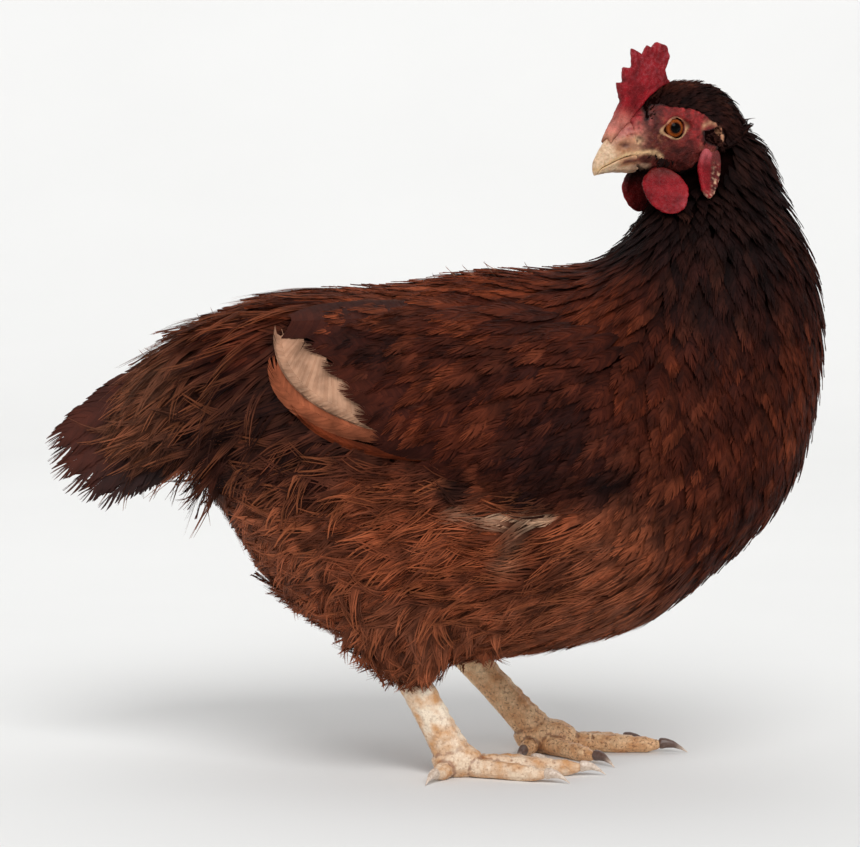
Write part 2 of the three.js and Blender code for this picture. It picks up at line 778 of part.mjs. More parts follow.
for (const [name, side] of Object.entries(SIDES)) {
  addNode("eye_" + name, solid(eyeGeometry(side)), iris);
  addNode("wattle_" + name, solid(flap(side, WATTLE)).subtract(faceClear).subtract(beakClear), redSkin);
  addNode("earlobe_" + name, solid(flap(side, LOBE)).subtract(faceClear), redSkin);
}

for (const [name, side] of Object.entries(SIDES)) {
  const feathers = layTiers(WING_TIERS, flank, side, dice(11 + side)).map(solid);
  addNode("wing_" + name, union(solid(shoulderGeometry(side)).subtract(formClear), ...feathers), plumage);
}

const tailRoot = sectionLoft(tailSection, TAIL_ROOT.rings, TAIL_ROOT.sides, -TAIL_ROOT.depth, TAIL_ROOT.end);
const rump = union(solid(bodyGeometry()), solid(tailRoot));
const tailFeathers = Object.values(SIDES).flatMap((side) => [
  ...layTiers(TAIL_TIERS, roof, side, dice(21 + side)),
  ...layTiers(TAIL_COVERTS, tailSide, side, dice(31 + side)),
]);
addNode("tail", union(rump, ...tailFeathers.map(solid)).intersect(above(TAIL_CUT)), darkPlumage);

// Legs.
const floor = halfSpace(vec(0, 0, 0), vec(0, 0, 1));
for (const [name, side] of Object.entries(SIDES)) {
  const leg = LEGS[name];
  addNode("thigh_" + name, solid(thighGeometry(leg)).subtract(formClear), plumage);
  const thighClear = union(formClear, solid(thighGeometry(leg, GAP)));
  addNode("shank_" + name, solid(shankGeometry(leg)).subtract(thighClear).intersect(floor), scaledSkin);
  const shankClear = solid(shankGeometry(leg, GAP));
  addNode("foot_" + name, solid(padGeometry(leg)).subtract(shankClear).intersect(floor), scaledSkin);
  let legClear = union(shankClear, solid(padGeometry(leg, GAP)));
  for (const [toeName, toe] of Object.entries(TOES)) {
    const toeSolid = solid(toeGeometry(leg, side, toe)).subtract(legClear).intersect(floor);
    addNode(`toe_${toeName}_${name}`, toeSolid, scaledSkin);
    const toeClear = solid(toeGeometry(leg, side, toe, GAP));
    const claw = solid(clawGeometry(leg, side, toe)).subtract(toeClear).intersect(floor);
    addNode(`claw_${toeName}_${name}`, claw, clawHorn);
    legClear = legClear.add(toeClear);
  }
}

// The origin is on the floor, under the middle of the hen.
const bounds = new THREE.Box3().setFromObject(hen);
const middle = bounds.getCenter(vec());
hen.position.set(-middle.x, -middle.y, -bounds.min.z);

export default hen;
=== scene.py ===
import math
import bpy
import numpy as np
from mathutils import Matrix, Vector, noise
from mathutils.bvhtree import BVHTree


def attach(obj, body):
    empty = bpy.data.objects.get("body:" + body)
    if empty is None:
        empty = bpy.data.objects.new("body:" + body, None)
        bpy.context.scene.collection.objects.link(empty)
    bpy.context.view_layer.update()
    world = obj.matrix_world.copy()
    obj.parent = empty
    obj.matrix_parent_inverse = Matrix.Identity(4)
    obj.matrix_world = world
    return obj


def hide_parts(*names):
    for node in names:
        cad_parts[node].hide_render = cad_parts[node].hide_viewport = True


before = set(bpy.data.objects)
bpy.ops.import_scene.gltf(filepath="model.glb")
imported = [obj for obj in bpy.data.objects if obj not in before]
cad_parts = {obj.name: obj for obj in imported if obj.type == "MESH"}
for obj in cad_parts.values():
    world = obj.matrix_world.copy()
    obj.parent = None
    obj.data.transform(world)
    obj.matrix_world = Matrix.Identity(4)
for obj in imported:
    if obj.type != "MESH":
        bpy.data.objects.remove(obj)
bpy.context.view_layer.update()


# The skin of the body: one continuous hide over torso, neck, thighs, folded wings and tail stump.
# On the real bird it is thin, soft and hidden; here it is cast in one piece, sunk below the tips
# of the feathers by the depth of the coat, and coloured as the coat is, darker where feathers
# cover it, as painted shade below them.
BODY_SHIFT = (5.26, 0.02, 0.0)          # mm, from the sculptor's axes to the frame's
BODY_CELL = 0.0028                      # of the cast hide's mesh, m
COAT_DEPTH = 0.0055                     # of the hide below the coat's outer form, m
NECK_DEPTH = 0.004                      # more of it at the top of the neck, inside the head, m
NECK_TOP = (0.318, 0.338)               # heights where that begins and where it is whole, m

# Folded wing, from its bend back to its tip: place along the body, top, bottom, stand-out, mm.
WING_STATIONS = [
    (148, 212, 190, 0.5), (138, 228, 178, 3), (126, 240, 168, 6), (112, 248, 162, 9),
    (97, 252, 158, 11), (80, 255, 156, 11.5), (60, 258, 155, 11), (39, 261, 159, 9.5),
    (10, 263, 170, 8.5), (-15, 262, 176, 7), (-36, 260, 183, 5.5), (-56, 257, 194, 4.5),
    (-70, 250, 215, 3),
]
WING_BED = 6                            # how deep the wing's inner face lies in the flank, mm
# Tail stump: top x and z, bottom x and z, half width, mm.
TAIL_STATIONS = [
    (-90, 246, -106, 158, 45), (-106, 243, -121, 152, 44), (-124, 234, -135, 154, 37),
    (-140, 222, -148, 158, 29), (-155, 208, -158, 160, 21), (-166, 197, -167, 164, 12),
]


def at(points):
    """Points of the sculptor's axes, in mm, as metres of the frame."""
    return (np.asarray(points, float) + BODY_SHIFT) * 0.001


def body_spot(points):
    """Places in the frame on the sculptor's axes, in mm."""
    return np.asarray(points) * 1000 - BODY_SHIFT


def step(low, high, value):
    """0 below low, 1 above high, with an even turn between."""
    share = np.clip((value - low) / (high - low), 0, 1)
    return share * share * (3 - 2 * share)


def unit(ways):
    """Ways of any length as ways of length one."""
    return ways / np.linalg.norm(ways, axis=-1, keepdims=True)


def mesh_piece(name, points, faces):
    """A mesh object from arrays of points and of faces that all have as many corners."""
    points, faces = np.asarray(points, float), np.asarray(faces, int)
    mesh = bpy.data.meshes.new(name)
    mesh.vertices.add(len(points))
    mesh.vertices.foreach_set("co", points.reshape(-1))
    mesh.loops.add(faces.size)
    mesh.loops.foreach_set("vertex_index", faces.reshape(-1))
    mesh.polygons.add(len(faces))
    mesh.polygons.foreach_set("loop_start", np.arange(0, faces.size, faces.shape[1]))
    mesh.update(calc_edges=True)
    mesh.polygons.foreach_set("use_smooth", np.full(len(faces), True))
    piece = bpy.data.objects.new(name, mesh)
    bpy.context.scene.collection.objects.link(piece)
    return piece


def mesh_points(mesh):
    """The points of a mesh and their normals."""
    points = np.empty(len(mesh.vertices) * 3)
    mesh.vertices.foreach_get("co", points)
    normals = np.empty(len(mesh.vertices) * 3)
    mesh.vertex_normals.foreach_get("vector", normals)
    return points.reshape(-1, 3), normals.reshape(-1, 3)


def mesh_faces(mesh):
    """The four-cornered faces that a remeshed form has."""
    return np.array([tuple(face.vertices) for face in mesh.polygons if len(face.vertices) == 4])


def reshape(piece, points):
    """Moves the points of a piece."""
    piece.data.vertices.foreach_set("co", np.reshape(points, -1))
    piece.data.update()


def solid_arrays(names):
    """Copies of CAD solids as one list of points and one of triangles."""
    points, faces, start = [], [], 0
    for name in names:
        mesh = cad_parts[name].data
        mesh.calc_loop_triangles()
        part = mesh_points(mesh)[0]
        corners = np.empty(len(mesh.loop_triangles) * 3, int)
        mesh.loop_triangles.foreach_get("vertices", corners)
        points.append(part)
        faces.append(corners.reshape(-1, 3) + start)
        start += len(part)
    return np.concatenate(points), np.concatenate(faces)


def ringed(rings):
    """A closed form through rings of as many points each."""
    rings = np.asarray(rings, float)
    count, sides = rings.shape[:2]
    here = np.arange(sides)
    after = np.roll(here, -1)
    faces = []
    for ring in range(count - 1):
        a, b = ring * sides, (ring + 1) * sides
        faces += [np.stack([a + here, a + after, b + after], 1)]
        faces += [np.stack([a + here, b + after, b + here], 1)]
    last = (count - 1) * sides
    faces += [np.array([[0, k + 1, k] for k in range(1, sides - 1)])]
    faces += [np.array([[last, last + k, last + k + 1] for k in range(1, sides - 1)])]
    return rings.reshape(-1, 3), np.concatenate(faces)


def largest_island(points, faces):
    """Only the biggest connected surface."""
    mark = np.arange(len(points))
    while True:
        low = mark[faces].min(1)
        new = mark.copy()
        for corner in range(faces.shape[1]):
            np.minimum.at(new, faces[:, corner], low)
        if (new == mark).all():
            break
        mark = new[new]
    names, counts = np.unique(mark, return_counts=True)
    keep = mark == names[counts.argmax()]
    number = np.cumsum(keep) - 1
    return points[keep], number[faces[keep[faces[:, 0]]]]


def cast(parts, cell, rounds):
    """Closed forms melted into one even skin of small square faces, then smoothed."""
    start, points, faces = 0, [], []
    for part_points, part_faces in parts:
        if part_faces.shape[1] == 4:
            part_faces = np.concatenate([part_faces[:, :3], part_faces[:, [0, 2, 3]]])
        points.append(part_points)
        faces.append(part_faces + start)
        start += len(part_points)
    raw = mesh_piece("raw", np.concatenate(points), np.concatenate(faces))
    melt = raw.modifiers.new("melt", "REMESH")
    melt.mode, melt.voxel_size = "VOXEL", cell
    soft = raw.modifiers.new("soft", "SMOOTH")
    soft.factor, soft.iterations = 0.5, rounds
    made = raw.evaluated_get(bpy.context.evaluated_depsgraph_get()).to_mesh()
    found = largest_island(mesh_points(made)[0], mesh_faces(made))
    raw.to_mesh_clear()
    bpy.data.objects.remove(raw)
    return found


def surface(points, faces):
    """A form that feathers can be laid on: its search tree and smooth normals at each face."""
    made = mesh_piece("form", points, faces)
    normals = mesh_points(made.data)[1]
    bpy.data.objects.remove(made)
    tree = BVHTree.FromPolygons(points.tolist(), faces.tolist())
    lean = normals[faces].mean(1)
    return {"tree": tree, "points": points, "faces": faces, "lean": lean, "normals": normals}


def nearest(form, points):
    """The closest places on a form and the smooth normals there."""
    tree, shape = form["tree"], np.shape(points)
    found = [tree.find_nearest(point) for point in np.reshape(points, (-1, 3)).tolist()]
    place = np.array([hit[0][:] for hit in found])
    lean = unit(form["lean"][[hit[2] for hit in found]])
    return place.reshape(shape), lean.reshape(shape)


HEM_RAISE = 6.0                         # of the thighs' lower ends, under ragged feathers, mm
HEM = (0.066, 0.046)                    # heights where that begins and where it is whole, m
BESIDE, WITHIN = 200, 30                # clear of the body's side, and well inside it, mm
# Where the soft form is padded or drawn in: x, z, reach, and how far along x and up, mm.
PADDING = [(-110, 128, 32, 3.2, 7.2), (199, 160, 40, 3.6, -2.6)]


def tail_rings():
    """The stump under the tail coverts."""
    rings = []
    for top_x, top_z, low_x, low_z, half in TAIL_STATIONS:
        turn = np.linspace(0, 2 * np.pi, 24, endpoint=False)
        up = (np.cos(turn) + 1) / 2
        rings.append(np.stack([
            low_x + (top_x - low_x) * up, half * np.sin(turn) * (1.15 - 0.35 * up),
            low_z + (top_z - low_z) * up], 1))
    return at(rings)


bare = cast(
    [solid_arrays(["torso", "neck", "head", "thigh_left", "thigh_right"]),
     ringed(tail_rings())],
    BODY_CELL, rounds=8)
hem = step(*HEM, bare[0][:, 2])[:, None] * (0, 0, HEM_RAISE * 0.001)
padded = bare[0] + hem
for ahead, high, reach, along, up in PADDING:
    away = body_spot(bare[0])[:, [0, 2]] - (ahead, high)
    padded += np.exp(-(away ** 2).sum(1) / reach ** 2)[:, None] * (along, 0, up) * 0.001
bare = padded, bare[1]
body_form = surface(*bare)


def flank(side, x, z, out):
    """A place on the side of the body, found from beside it, pushed out by so many mm."""
    tree = body_form["tree"]
    hit = tree.ray_cast(Vector(at((x, side * BESIDE, z))), Vector((0, -side, 0)))
    if hit[0] is None:
        hit = tree.find_nearest(Vector(at((x, side * WITHIN, z))))
    return np.array(hit[0]) + np.array(hit[1]) * out * 0.001


def wing_rings(side):
    """The arm and folded vanes of a wing as one rounded slab lying on the flank."""
    rings = []
    for x, top, low, out in WING_STATIONS:
        rises = np.linspace(0, 1, 13)
        crown = np.minimum(rises / 0.1, 1) ** 0.5 * (1 - step(0.55, 1.0, rises)) ** 0.8
        outer = [flank(side, x, low + (top - low) * r, out * c) for r, c in zip(rises, crown)]
        inner = [flank(side, x, low + (top - low) * r, -WING_BED) for r in rises[::-1]]
        rings.append(outer + inner if side < 0 else inner[::-1] + outer[::-1])
    return rings


winged = cast([bare] + [ringed(wing_rings(side)) for side in (-1, 1)], BODY_CELL, rounds=6)
wing_form = surface(*winged)

# Marks of the coat, as places that carry a colour: x, distance from the middle, z, reach (all mm),
# and the shares of dark, russet and buff there. Some of them paint light and shade: the dark band
# under the wing's lower edge is painted shadow, the dark crescent before the belly is painted
# shade in its hollow, and the back and belly are paler and more russet partly as painted light.
COAT_MARKS_AND_PAINTED_LIGHT = [
    (128, 5, 362, 16, 0.66, 0.3, 0.0),
    (133, 5, 335, 34, 0.9, 0.1, 0.0), (120, 20, 300, 45, 1.0, 0.0, 0.0),
    (165, 30, 290, 45, 1.0, 0.0, 0.0), (150, 55, 255, 34, 0.9, 0.1, 0.0),
    (190, 15, 285, 30, 0.9, 0.15, 0.0), (195, 20, 255, 40, 0.8, 0.2, 0.0),
    (205, 20, 205, 40, 0.55, 0.4, 0.0), (165, 70, 190, 40, 0.62, 0.3, 0.0),
    (180, 50, 140, 40, 0.62, 0.35, 0.0), (110, 85, 225, 36, 0.5, 0.42, 0.0),
    (100, 65, 252, 24, 0.45, 0.5, 0.0), (60, 85, 225, 40, 0.64, 0.34, 0.0),
    (70, 95, 175, 30, 0.82, 0.14, 0.0), (20, 90, 205, 36, 0.55, 0.4, 0.0),
    # Painted light, in part: the back, at (40, 20, 262) and (-30, 30, 252), is more russet where
    # the light falls on it from above.
    (-40, 80, 225, 30, 0.8, 0.2, 0.0), (40, 20, 262, 44, 0.35, 0.6, 0.0),
    (-30, 30, 252, 40, 0.25, 0.7, 0.03), (-70, 30, 245, 30, 0.5, 0.5, 0.0),
    (-95, 35, 235, 36, 0.5, 0.5, 0.0), (-102, 50, 190, 36, 0.9, 0.15, 0.0),
    (-150, 20, 195, 30, 0.52, 0.45, 0.09), (-92, 45, 160, 26, 0.85, 0.2, 0.0),
    (-82, 50, 132, 24, 0.1, 0.9, 0.09), (-60, 75, 170, 26, 0.8, 0.2, 0.0),
    (50, 92, 122, 36, 0.15, 0.85, 0.03), (0, 85, 128, 36, 0.12, 0.9, 0.04),
    (-50, 60, 110, 30, 0.1, 0.9, 0.07), (100, 80, 110, 34, 0.12, 0.88, 0.08),
    # Painted light, in part: the belly, at (60, 60, 80) and (100, 55, 80), is paler and more
    # russet where the light falls on it from the front.
    (60, 60, 80, 36, 0.04, 0.95, 0.09), (100, 55, 80, 26, 0.05, 0.95, 0.11),
    # Painted shade: a dark crescent in the hollow before the belly.
    (150, 40, 100, 30, 0.6, 0.4, 0.0), (158, 48, 106, 13, 0.95, 0.0, 0.0),
    (-10, 60, 80, 30, 0.14, 0.86, 0.08), (0, 50, 60, 22, 0.2, 0.8, 0.09),
    # Painted shadow: a dark band on the flank under the wing's lower edge, where the wing
    # overhangs it.
    (25, 95, 157, 12, 0.95, 0.0, 0.0), (60, 95, 153, 12, 1.0, 0.0, 0.0),
    (100, 92, 158, 14, 0.95, 0.0, 0.0),
]
# The pale streak below the wing and its fading foot, seen from the side (x, z), and their
# reaches, mm.
FLANK_STREAK, STREAK_REACH = [(25, 145), (48, 142), (73, 142)], 2.5
STREAK_FOOT, FOOT_REACH = [(57, 137), (49, 114)], 5.0


def near_line(x, z, line):
    """How far places seen from the side are from a bent line, in mm."""
    spot, best = np.stack([x, z], -1), np.full(np.shape(x), 1e9)
    line = np.array(line, float)
    for a, b in zip(line, line[1:]):
        share = np.clip((spot - a) @ (b - a) / ((b - a) @ (b - a)), 0, 1)
        best = np.minimum(best, np.linalg.norm(spot - a - share[..., None] * (b - a), axis=-1))
    return best


def coat_marks_and_painted_light(points):
    """Shares of dark, russet and buff at places on the coat or on the skin below it, painted light
    and shade among them.
    """
    spot = body_spot(points)
    spot[..., 1] = np.abs(spot[..., 1])
    marks = np.array(COAT_MARKS_AND_PAINTED_LIGHT, float)
    far = np.linalg.norm(spot[..., None, :] - marks[:, :3], axis=-1) / marks[:, 3]
    pull = 1 / (far ** 4 + 0.02)
    shares = (pull @ marks[:, 4:]) / pull.sum(-1, keepdims=True)
    ahead, outward, high = spot[..., 0], spot[..., 1], spot[..., 2]
    streak = np.exp(-(near_line(ahead, high, FLANK_STREAK) / STREAK_REACH) ** 2)
    streak *= 0.35 + 0.8 * step(30, 62, ahead)
    foot = 0.24 * np.exp(-(near_line(ahead, high, STREAK_FOOT) / FOOT_REACH) ** 2)
    shares[..., 2] = np.maximum(shares[..., 2], np.maximum(streak, foot) * (outward > 40))
    return shares


def mark_points(piece, name, values):
    """Gives each point of a piece a number, or a colour of three, under a name."""
    values = np.asarray(values, np.float32)
    kind = "FLOAT" if values.ndim == 1 else "FLOAT_VECTOR"
    layer = piece.data.attributes.new(name, kind, "POINT")
    layer.data.foreach_set("value" if values.ndim == 1 else "vector", values.reshape(-1))


# Head of the hide: bare red face, lids and ear, cast finer than the body and wrinkled in the
# round. Its lower edge runs down inside the neck, below the first feathers.
HEAD_SPOT = (133.2, -3.5, 335.5)
HEAD_TURN = math.radians(-137)
HEAD_CELL = 0.0006                      # of the head's finer mesh, m
EYE_SPOT = (15.5, 10.3, 4.0)            # forward, outward and up of the eyeball's middle, mm
EYE_RADIUS = 6.6
TUFT_DEPTH = 2.0                        # of the skin below the feathered outline, mm
head_axes = np.array([
    (math.cos(HEAD_TURN), math.sin(HEAD_TURN), 0),
    (-math.sin(HEAD_TURN), math.cos(HEAD_TURN), 0), (0, 0, 1)])


def on_head(local):
    """Forward, left and up of the head's middle, in mm, as metres of the frame."""
    return at(np.asarray(local, float) @ head_axes + HEAD_SPOT)


def head_local(points):
    """Places in the frame as forward, left and up of the head's middle, in mm."""
    return (body_spot(points) - HEAD_SPOT) @ head_axes.T


def ripple(points, scale, seed=0.0):
    """Even noise from -1 to 1 at each point, with lumps of about scale mm."""
    shift = Vector((seed, seed * 1.7, -seed))
    return np.array([noise.noise(Vector(p) * (1000 / scale) + shift) for p in points.tolist()])


def lid_edge(local):
    """Distance from the edge of the almond opening between the lids, outside it, in mm."""
    ahead, up = local[:, 0] - EYE_SPOT[0] - 0.3, local[:, 2] - EYE_SPOT[2]
    ahead, up = ahead * 0.985 - up * 0.17, up * 0.985 + ahead * 0.17
    long = np.where(ahead > 0, 7.0, 6.2)
    tall = np.where(up > 0, 4.5, 4.3) * (1 - 0.42 * np.minimum(np.abs(ahead) / long, 1) ** 2)
    return (np.hypot(ahead / long, up / tall) - 1) * 5.2


def before_wedge(local):
    """How far places lie in front of the wedge of dark bristles behind the comb, in mm."""
    return local[:, 0] - np.interp(local[:, 2], [2, 10, 18, 27], [31.5, 29.5, 27.5, 23.0])


def bare_face(local):
    """1 on the naked red face and ear, 0 where feathers grow."""
    ahead, up = local[:, 0], local[:, 2]
    over = np.interp(ahead, [-9, -5, 0, 8, 20, 30], [3.5, 7, 11.5, 14.6, 15.6, 14])
    under = -19 + 0.2 * (ahead - 14)
    back = np.interp(up, [-22, -14, -9, -6, -3, 2.6, 4.5, 9, 12],
                     [5, 2.5, -6, -6.5, 2.0, 2.2, -7, -6, -1])
    wedge = before_wedge(local)
    edge = 1.3 * ripple(on_head(local), 2.6, 8.0)
    brow = np.maximum(step(-1.2, 1.2, over - up + edge), step(0.4, 1.8, wedge))
    bristles = step(0.6, 2.0, np.abs(wedge) + 0.4 * edge) + step(9, 5, up)
    return brow * np.minimum(bristles, 1) * step(-2, 2, up - under + edge) \
        * step(-1.5, 1.5, ahead - back + 0.6 * edge)


def ear_arc(local):
    """1 on the pale arc of skin over and behind the ear's dark tuft."""
    ahead, up = local[:, 0], local[:, 2]
    off = np.hypot((ahead + 2.6) / 7.0, (up + 1.6) / 8.2)
    return np.exp(-((off - 1) / 0.19) ** 2) * step(-9, -3, up) * step(4, 0, ahead)


def rgb(red, green, blue):
    """A paint colour from 0 to 255, as the shader wants it."""
    return tuple((part / 255) ** 2.2 for part in (red, green, blue)) + (1.0,)


def paint(ground, coats):
    """The colour of each point: a ground, with coats of a share and a colour laid over it."""
    tint = np.tile(rgb(*ground)[:3], (len(coats[0][0]), 1))
    for share, colour in coats:
        tint += (np.array(rgb(*colour)[:3]) - tint) * np.clip(share, 0, 1)[:, None]
    return tint


def around(local, ahead, up, long, tall):
    """1 at a place on the side of the head, fading out round it."""
    return np.exp(-((local[:, 0] - ahead) / long) ** 2 - ((local[:, 2] - up) / tall) ** 2)


FACE_GROUND = (92, 36, 30)


def face_coats(local, patchy):
    """The coats of the bare head that skin and beak share, from the flushed brow to the lip."""
    ahead, up = local[:, 0], local[:, 2]
    lip = np.interp(ahead, [19, 21.6, 26, 32.5, 42.6, 50, 56],
                    [-13.5, -12, -9.4, -9, -10.5, -14, -18])
    wedge = before_wedge(local)
    return [
        (step(31, 38.5, ahead), (204, 160, 126)),
        (step(-8, 6, up) * step(27, 18, ahead) * (0.65 + 0.5 * patchy), (156, 42, 42)),
        (around(local, 3, 3, 6, 9) * 0.6, (150, 40, 44)),
        (around(local, 25, -2, 6, 7) * (0.6 + 0.3 * patchy), (78, 34, 24)),
        (step(0.5, 3.0, wedge) * step(-5, 2, up), (142, 30, 40)),
        (step(28, 35, ahead) * step(-8, -2, up) * step(13, 3, up) * (0.55 + 0.5 * patchy),
         (206, 128, 112)),
        (around(local, 36, -2, 2.6, 2.4) * 0.9, (232, 196, 150)),
        (step(34, 40, ahead) * step(1.5, -3, up) * (0.7 + 0.5 * patchy), (190, 134, 96)),
        (step(44, 50, ahead - 0.4 * (up + 10)), (226, 194, 160)),
        (around(local, 42.5, -4.4, 3.6, 1.8), (96, 52, 38)),
        (np.exp(-((up - lip - 0.9) / 1.3) ** 2) * step(20, 22.5, ahead), (228, 190, 142)),
        # Painted shade: a brown band just below the mouth line, under the edge of the upper
        # sheath.
        (np.exp(-((up - lip + 2.6) / 1.3) ** 2) * step(25, 28, ahead) * step(45, 42, ahead),
         (98, 52, 38)),
        (step(-4.2, -5.6, up - lip) * step(25, 29, ahead), (214, 176, 144)),
    ]


head_points, head_faces = cast([solid_arrays(["head"])], HEAD_CELL, rounds=5)
head_form = surface(head_points, head_faces)
local = head_local(head_points)
patchy = ripple(head_points, 2.2, 4.0)
rings = lid_edge(local)
lid = np.exp(-((rings - 0.95) / 0.75) ** 2)
arc = ear_arc(local) * np.clip(0.75 + 0.7 * patchy, 0, 1)
face = np.maximum(bare_face(local), step(0.3, 0.7, arc))
bedded = np.hypot(local[:, 0] + 3, local[:, 2])
lowered = (1 - face) * step(23, 16, local[:, 0]) * step(7, 13, bedded)
wave = ripple(head_points, 3.0) * 2.4 + ripple(head_points, 8.0, 2.0) * 2.4
fold = np.sin(2 * np.pi * (rings + wave) / 2.3) * step(1.6, 3, rings) * step(9, 3, rings)
pebble = ripple(head_points, 1.5, 3.0) + 0.8 * ripple(head_points, 3.2, 9.0)
raise_by = face * (fold * 0.08 + pebble * 0.26) - lowered * TUFT_DEPTH
head_points = head_points + head_form["normals"] * raise_by[:, None] * 0.001

# Lids: the skin dips under the ball inside the almond and swells to a rim round it.
LID_THICK, LID_DIP = 0.75, 1.6          # proud of the ball round it, and sunk below it, mm
LID_REACH = 13                          # how far from the eye the skin is drawn to the lids, mm
local = head_local(head_points)
outward = np.abs(local[:, 1])
off = np.hypot(local[:, 0] - EYE_SPOT[0], local[:, 2] - EYE_SPOT[2])
ball_top = EYE_SPOT[1] + np.sqrt(np.maximum(EYE_RADIUS ** 2 - off ** 2, 6.0))
rim_top = ball_top + LID_THICK + 0.35 * lid
sculpted = np.where(rings < -0.25, ball_top - LID_DIP,
                    rim_top + (outward - rim_top) * step(0.6, 3.6, rings))
near_eye = (off < LID_REACH) & (outward > 6)
local[:, 1] = np.where(near_eye, sculpted, outward) * np.sign(local[:, 1])
head_points = on_head(local)
low_lid = 0.4 + 0.6 * step(2.5, -2, local[:, 2] - EYE_SPOT[2])
blotch = ripple(head_points, 3.4, 6.0)
tint = paint(FACE_GROUND, face_coats(local, patchy) + [
    (step(0.0, 0.6, blotch) * around(local, 14, -10, 14, 9) * 0.55, (66, 26, 22)),
    (step(0.05, 0.5, patchy) * around(local, 24, 2, 7, 9) * 0.4, (166, 104, 72)),
    (around(local, 29, 9.5, 1.6, 3.2) * 0.7, (196, 96, 92)),
    # Painted shade in the hollows between the face's pebbles, and painted highlights on their
    # tops, following the relief the pebbles are raised by.
    (np.clip(0.2 - pebble * 0.6, 0, 0.85), (48, 16, 14)),
    (step(0.75, 1.3, pebble) * 0.35, (196, 112, 92)),
    (step(0.25, 0.85, np.exp(-((rings - 1.15) / 0.9) ** 2)) * low_lid * (0.85 + 0.3 * patchy),
     (218, 178, 132)),
    (arc * 0.85, (206, 158, 120))])

skin_points = winged[0] - wing_form["normals"] * COAT_DEPTH
deep = step(*NECK_TOP, skin_points[:, 2])[:, None]
skin_points = skin_points - wing_form["normals"] * deep * NECK_DEPTH
skin = mesh_piece(
    "skin", np.concatenate([skin_points, head_points]),
    np.concatenate([winged[1], head_faces + len(skin_points)]))
body_count = len(skin_points)


def with_body(values):
    """Values of the head's points, with none on the body's."""
    return np.concatenate([np.zeros(body_count), values])


mark_points(skin, "marks", coat_marks_and_painted_light(np.concatenate([skin_points, head_points])))
mark_points(skin, "naked", with_body(face))
mark_points(skin, "tint", np.concatenate([np.zeros((body_count, 3)), tint]))


def wire(tree, socket, value):
    """Gives a socket its plain value, or a wire from another node."""
    if isinstance(value, bpy.types.NodeSocket):
        tree.links.new(value, socket)
    else:
        socket.default_value = value


def put(tree, kind, inputs=None, **settings):
    """A node of a finish, with its settings, values and wires."""
    made = tree.nodes.new("ShaderNode" + kind)
    for name, value in settings.items():
        setattr(made, name, value)
    for name, value in (inputs or {}).items():
        wire(tree, made.inputs[name], value)
    return made


def mix(tree, share, first, second, blend="MIX"):
    """One colour laid over another."""
    made = put(tree, "Mix", {0: share, 6: first, 7: second}, data_type="RGBA", blend_type=blend)
    return made.outputs[2]


def grey(tree, value):
    """A number as a colour without hue."""
    return put(tree, "CombineXYZ", {0: value, 1: value, 2: value}).outputs[0]


def sum_up(tree, way, *values):
    """A sum, product or other step on one to three numbers."""
    return put(tree, "Math", dict(enumerate(values)), operation=way).outputs[0]


def spread(tree, value, low, high, to_low=0.0, to_high=1.0):
    """A number taken from one range to another, and kept inside it."""
    return put(tree, "MapRange", {
        "Value": value, "From Min": low, "From Max": high,
        "To Min": to_low, "To Max": to_high}).outputs[0]


def grain(tree, scale, detail=3.0, kind="Noise", **inputs):
    """Noise or cells fixed to the piece."""
    place = put(tree, "TexCoord").outputs["Object"]
    texture = put(tree, "Tex" + kind, {"Vector": place, "Scale": scale} | inputs)
    if kind == "Noise":
        texture.inputs["Detail"].default_value = detail
    return texture


def effect(name, takes, gives):
    """An effect that more than one finish uses, with its named inputs and outputs."""
    group = bpy.data.node_groups.new(name, "ShaderNodeTree")
    for label, kind, value in takes:
        socket = group.interface.new_socket(label, in_out="INPUT", socket_type="NodeSocket" + kind)
        socket.default_value = value
    for label, kind in gives:
        group.interface.new_socket(label, in_out="OUTPUT", socket_type="NodeSocket" + kind)
    return group, group.nodes.new("NodeGroupInput"), group.nodes.new("NodeGroupOutput")


def use(tree, group, **inputs):
    """An effect placed in a finish."""
    made = tree.nodes.new("ShaderNodeGroup")
    made.node_tree = group
    for name, value in inputs.items():
        wire(tree, made.inputs[name.replace("_", " ")], value)
    return made


def finish(name, **values):
    """A new finish and its shader, whose plain values stand on the shader itself."""
    material = bpy.data.materials.new(name)
    material.use_nodes = True
    tree = material.node_tree
    shader = tree.nodes["Principled BSDF"]
    for label, value in values.items():
        shader.inputs[label.replace("_", " ")].default_value = value
    return material, tree, shader


def relief(tree, shader, height, depth, distance):
    """Small relief that catches the light."""
    bump = put(tree, "Bump", {"Height": height, "Strength": depth, "Distance": distance})
    tree.links.new(bump.outputs[0], shader.inputs["Normal"])


def reading(tree, name, output="Fac"):
    """A value that the piece's points carry."""
    return put(tree, "Attribute", attribute_name=name).outputs[output]


# The coat's dyes: mahogany ground, near-black, russet and buff, mixed by the marks, some of which
# paint light and shade.
coat_dye, dye_in, dye_out = effect("coat dye", [
    ("Marks", "Vector", (0, 0, 0)), ("Lift", "Float", 0.5), ("Streak", "Float", 0.5)],
    [("Color", "Color")])
parts = put(coat_dye, "SeparateXYZ", {0: dye_in.outputs["Marks"]})
streak = spread(coat_dye, dye_in.outputs["Streak"], 0.0, 1.0, 0.1, 0.9)
ground = mix(coat_dye, streak, rgb(46, 17, 12), rgb(94, 39, 24))
warm = mix(coat_dye, streak, rgb(82, 32, 18), rgb(160, 76, 41))
deep_brown = mix(coat_dye, streak, rgb(17, 12, 13), rgb(40, 24, 22))
pale = mix(coat_dye, streak, rgb(160, 116, 88), rgb(216, 180, 150))
lifted = sum_up(coat_dye, "MULTIPLY", parts.outputs[1], spread(
    coat_dye, dye_in.outputs["Lift"], 0.15, 0.85, 0.25, 1.6))
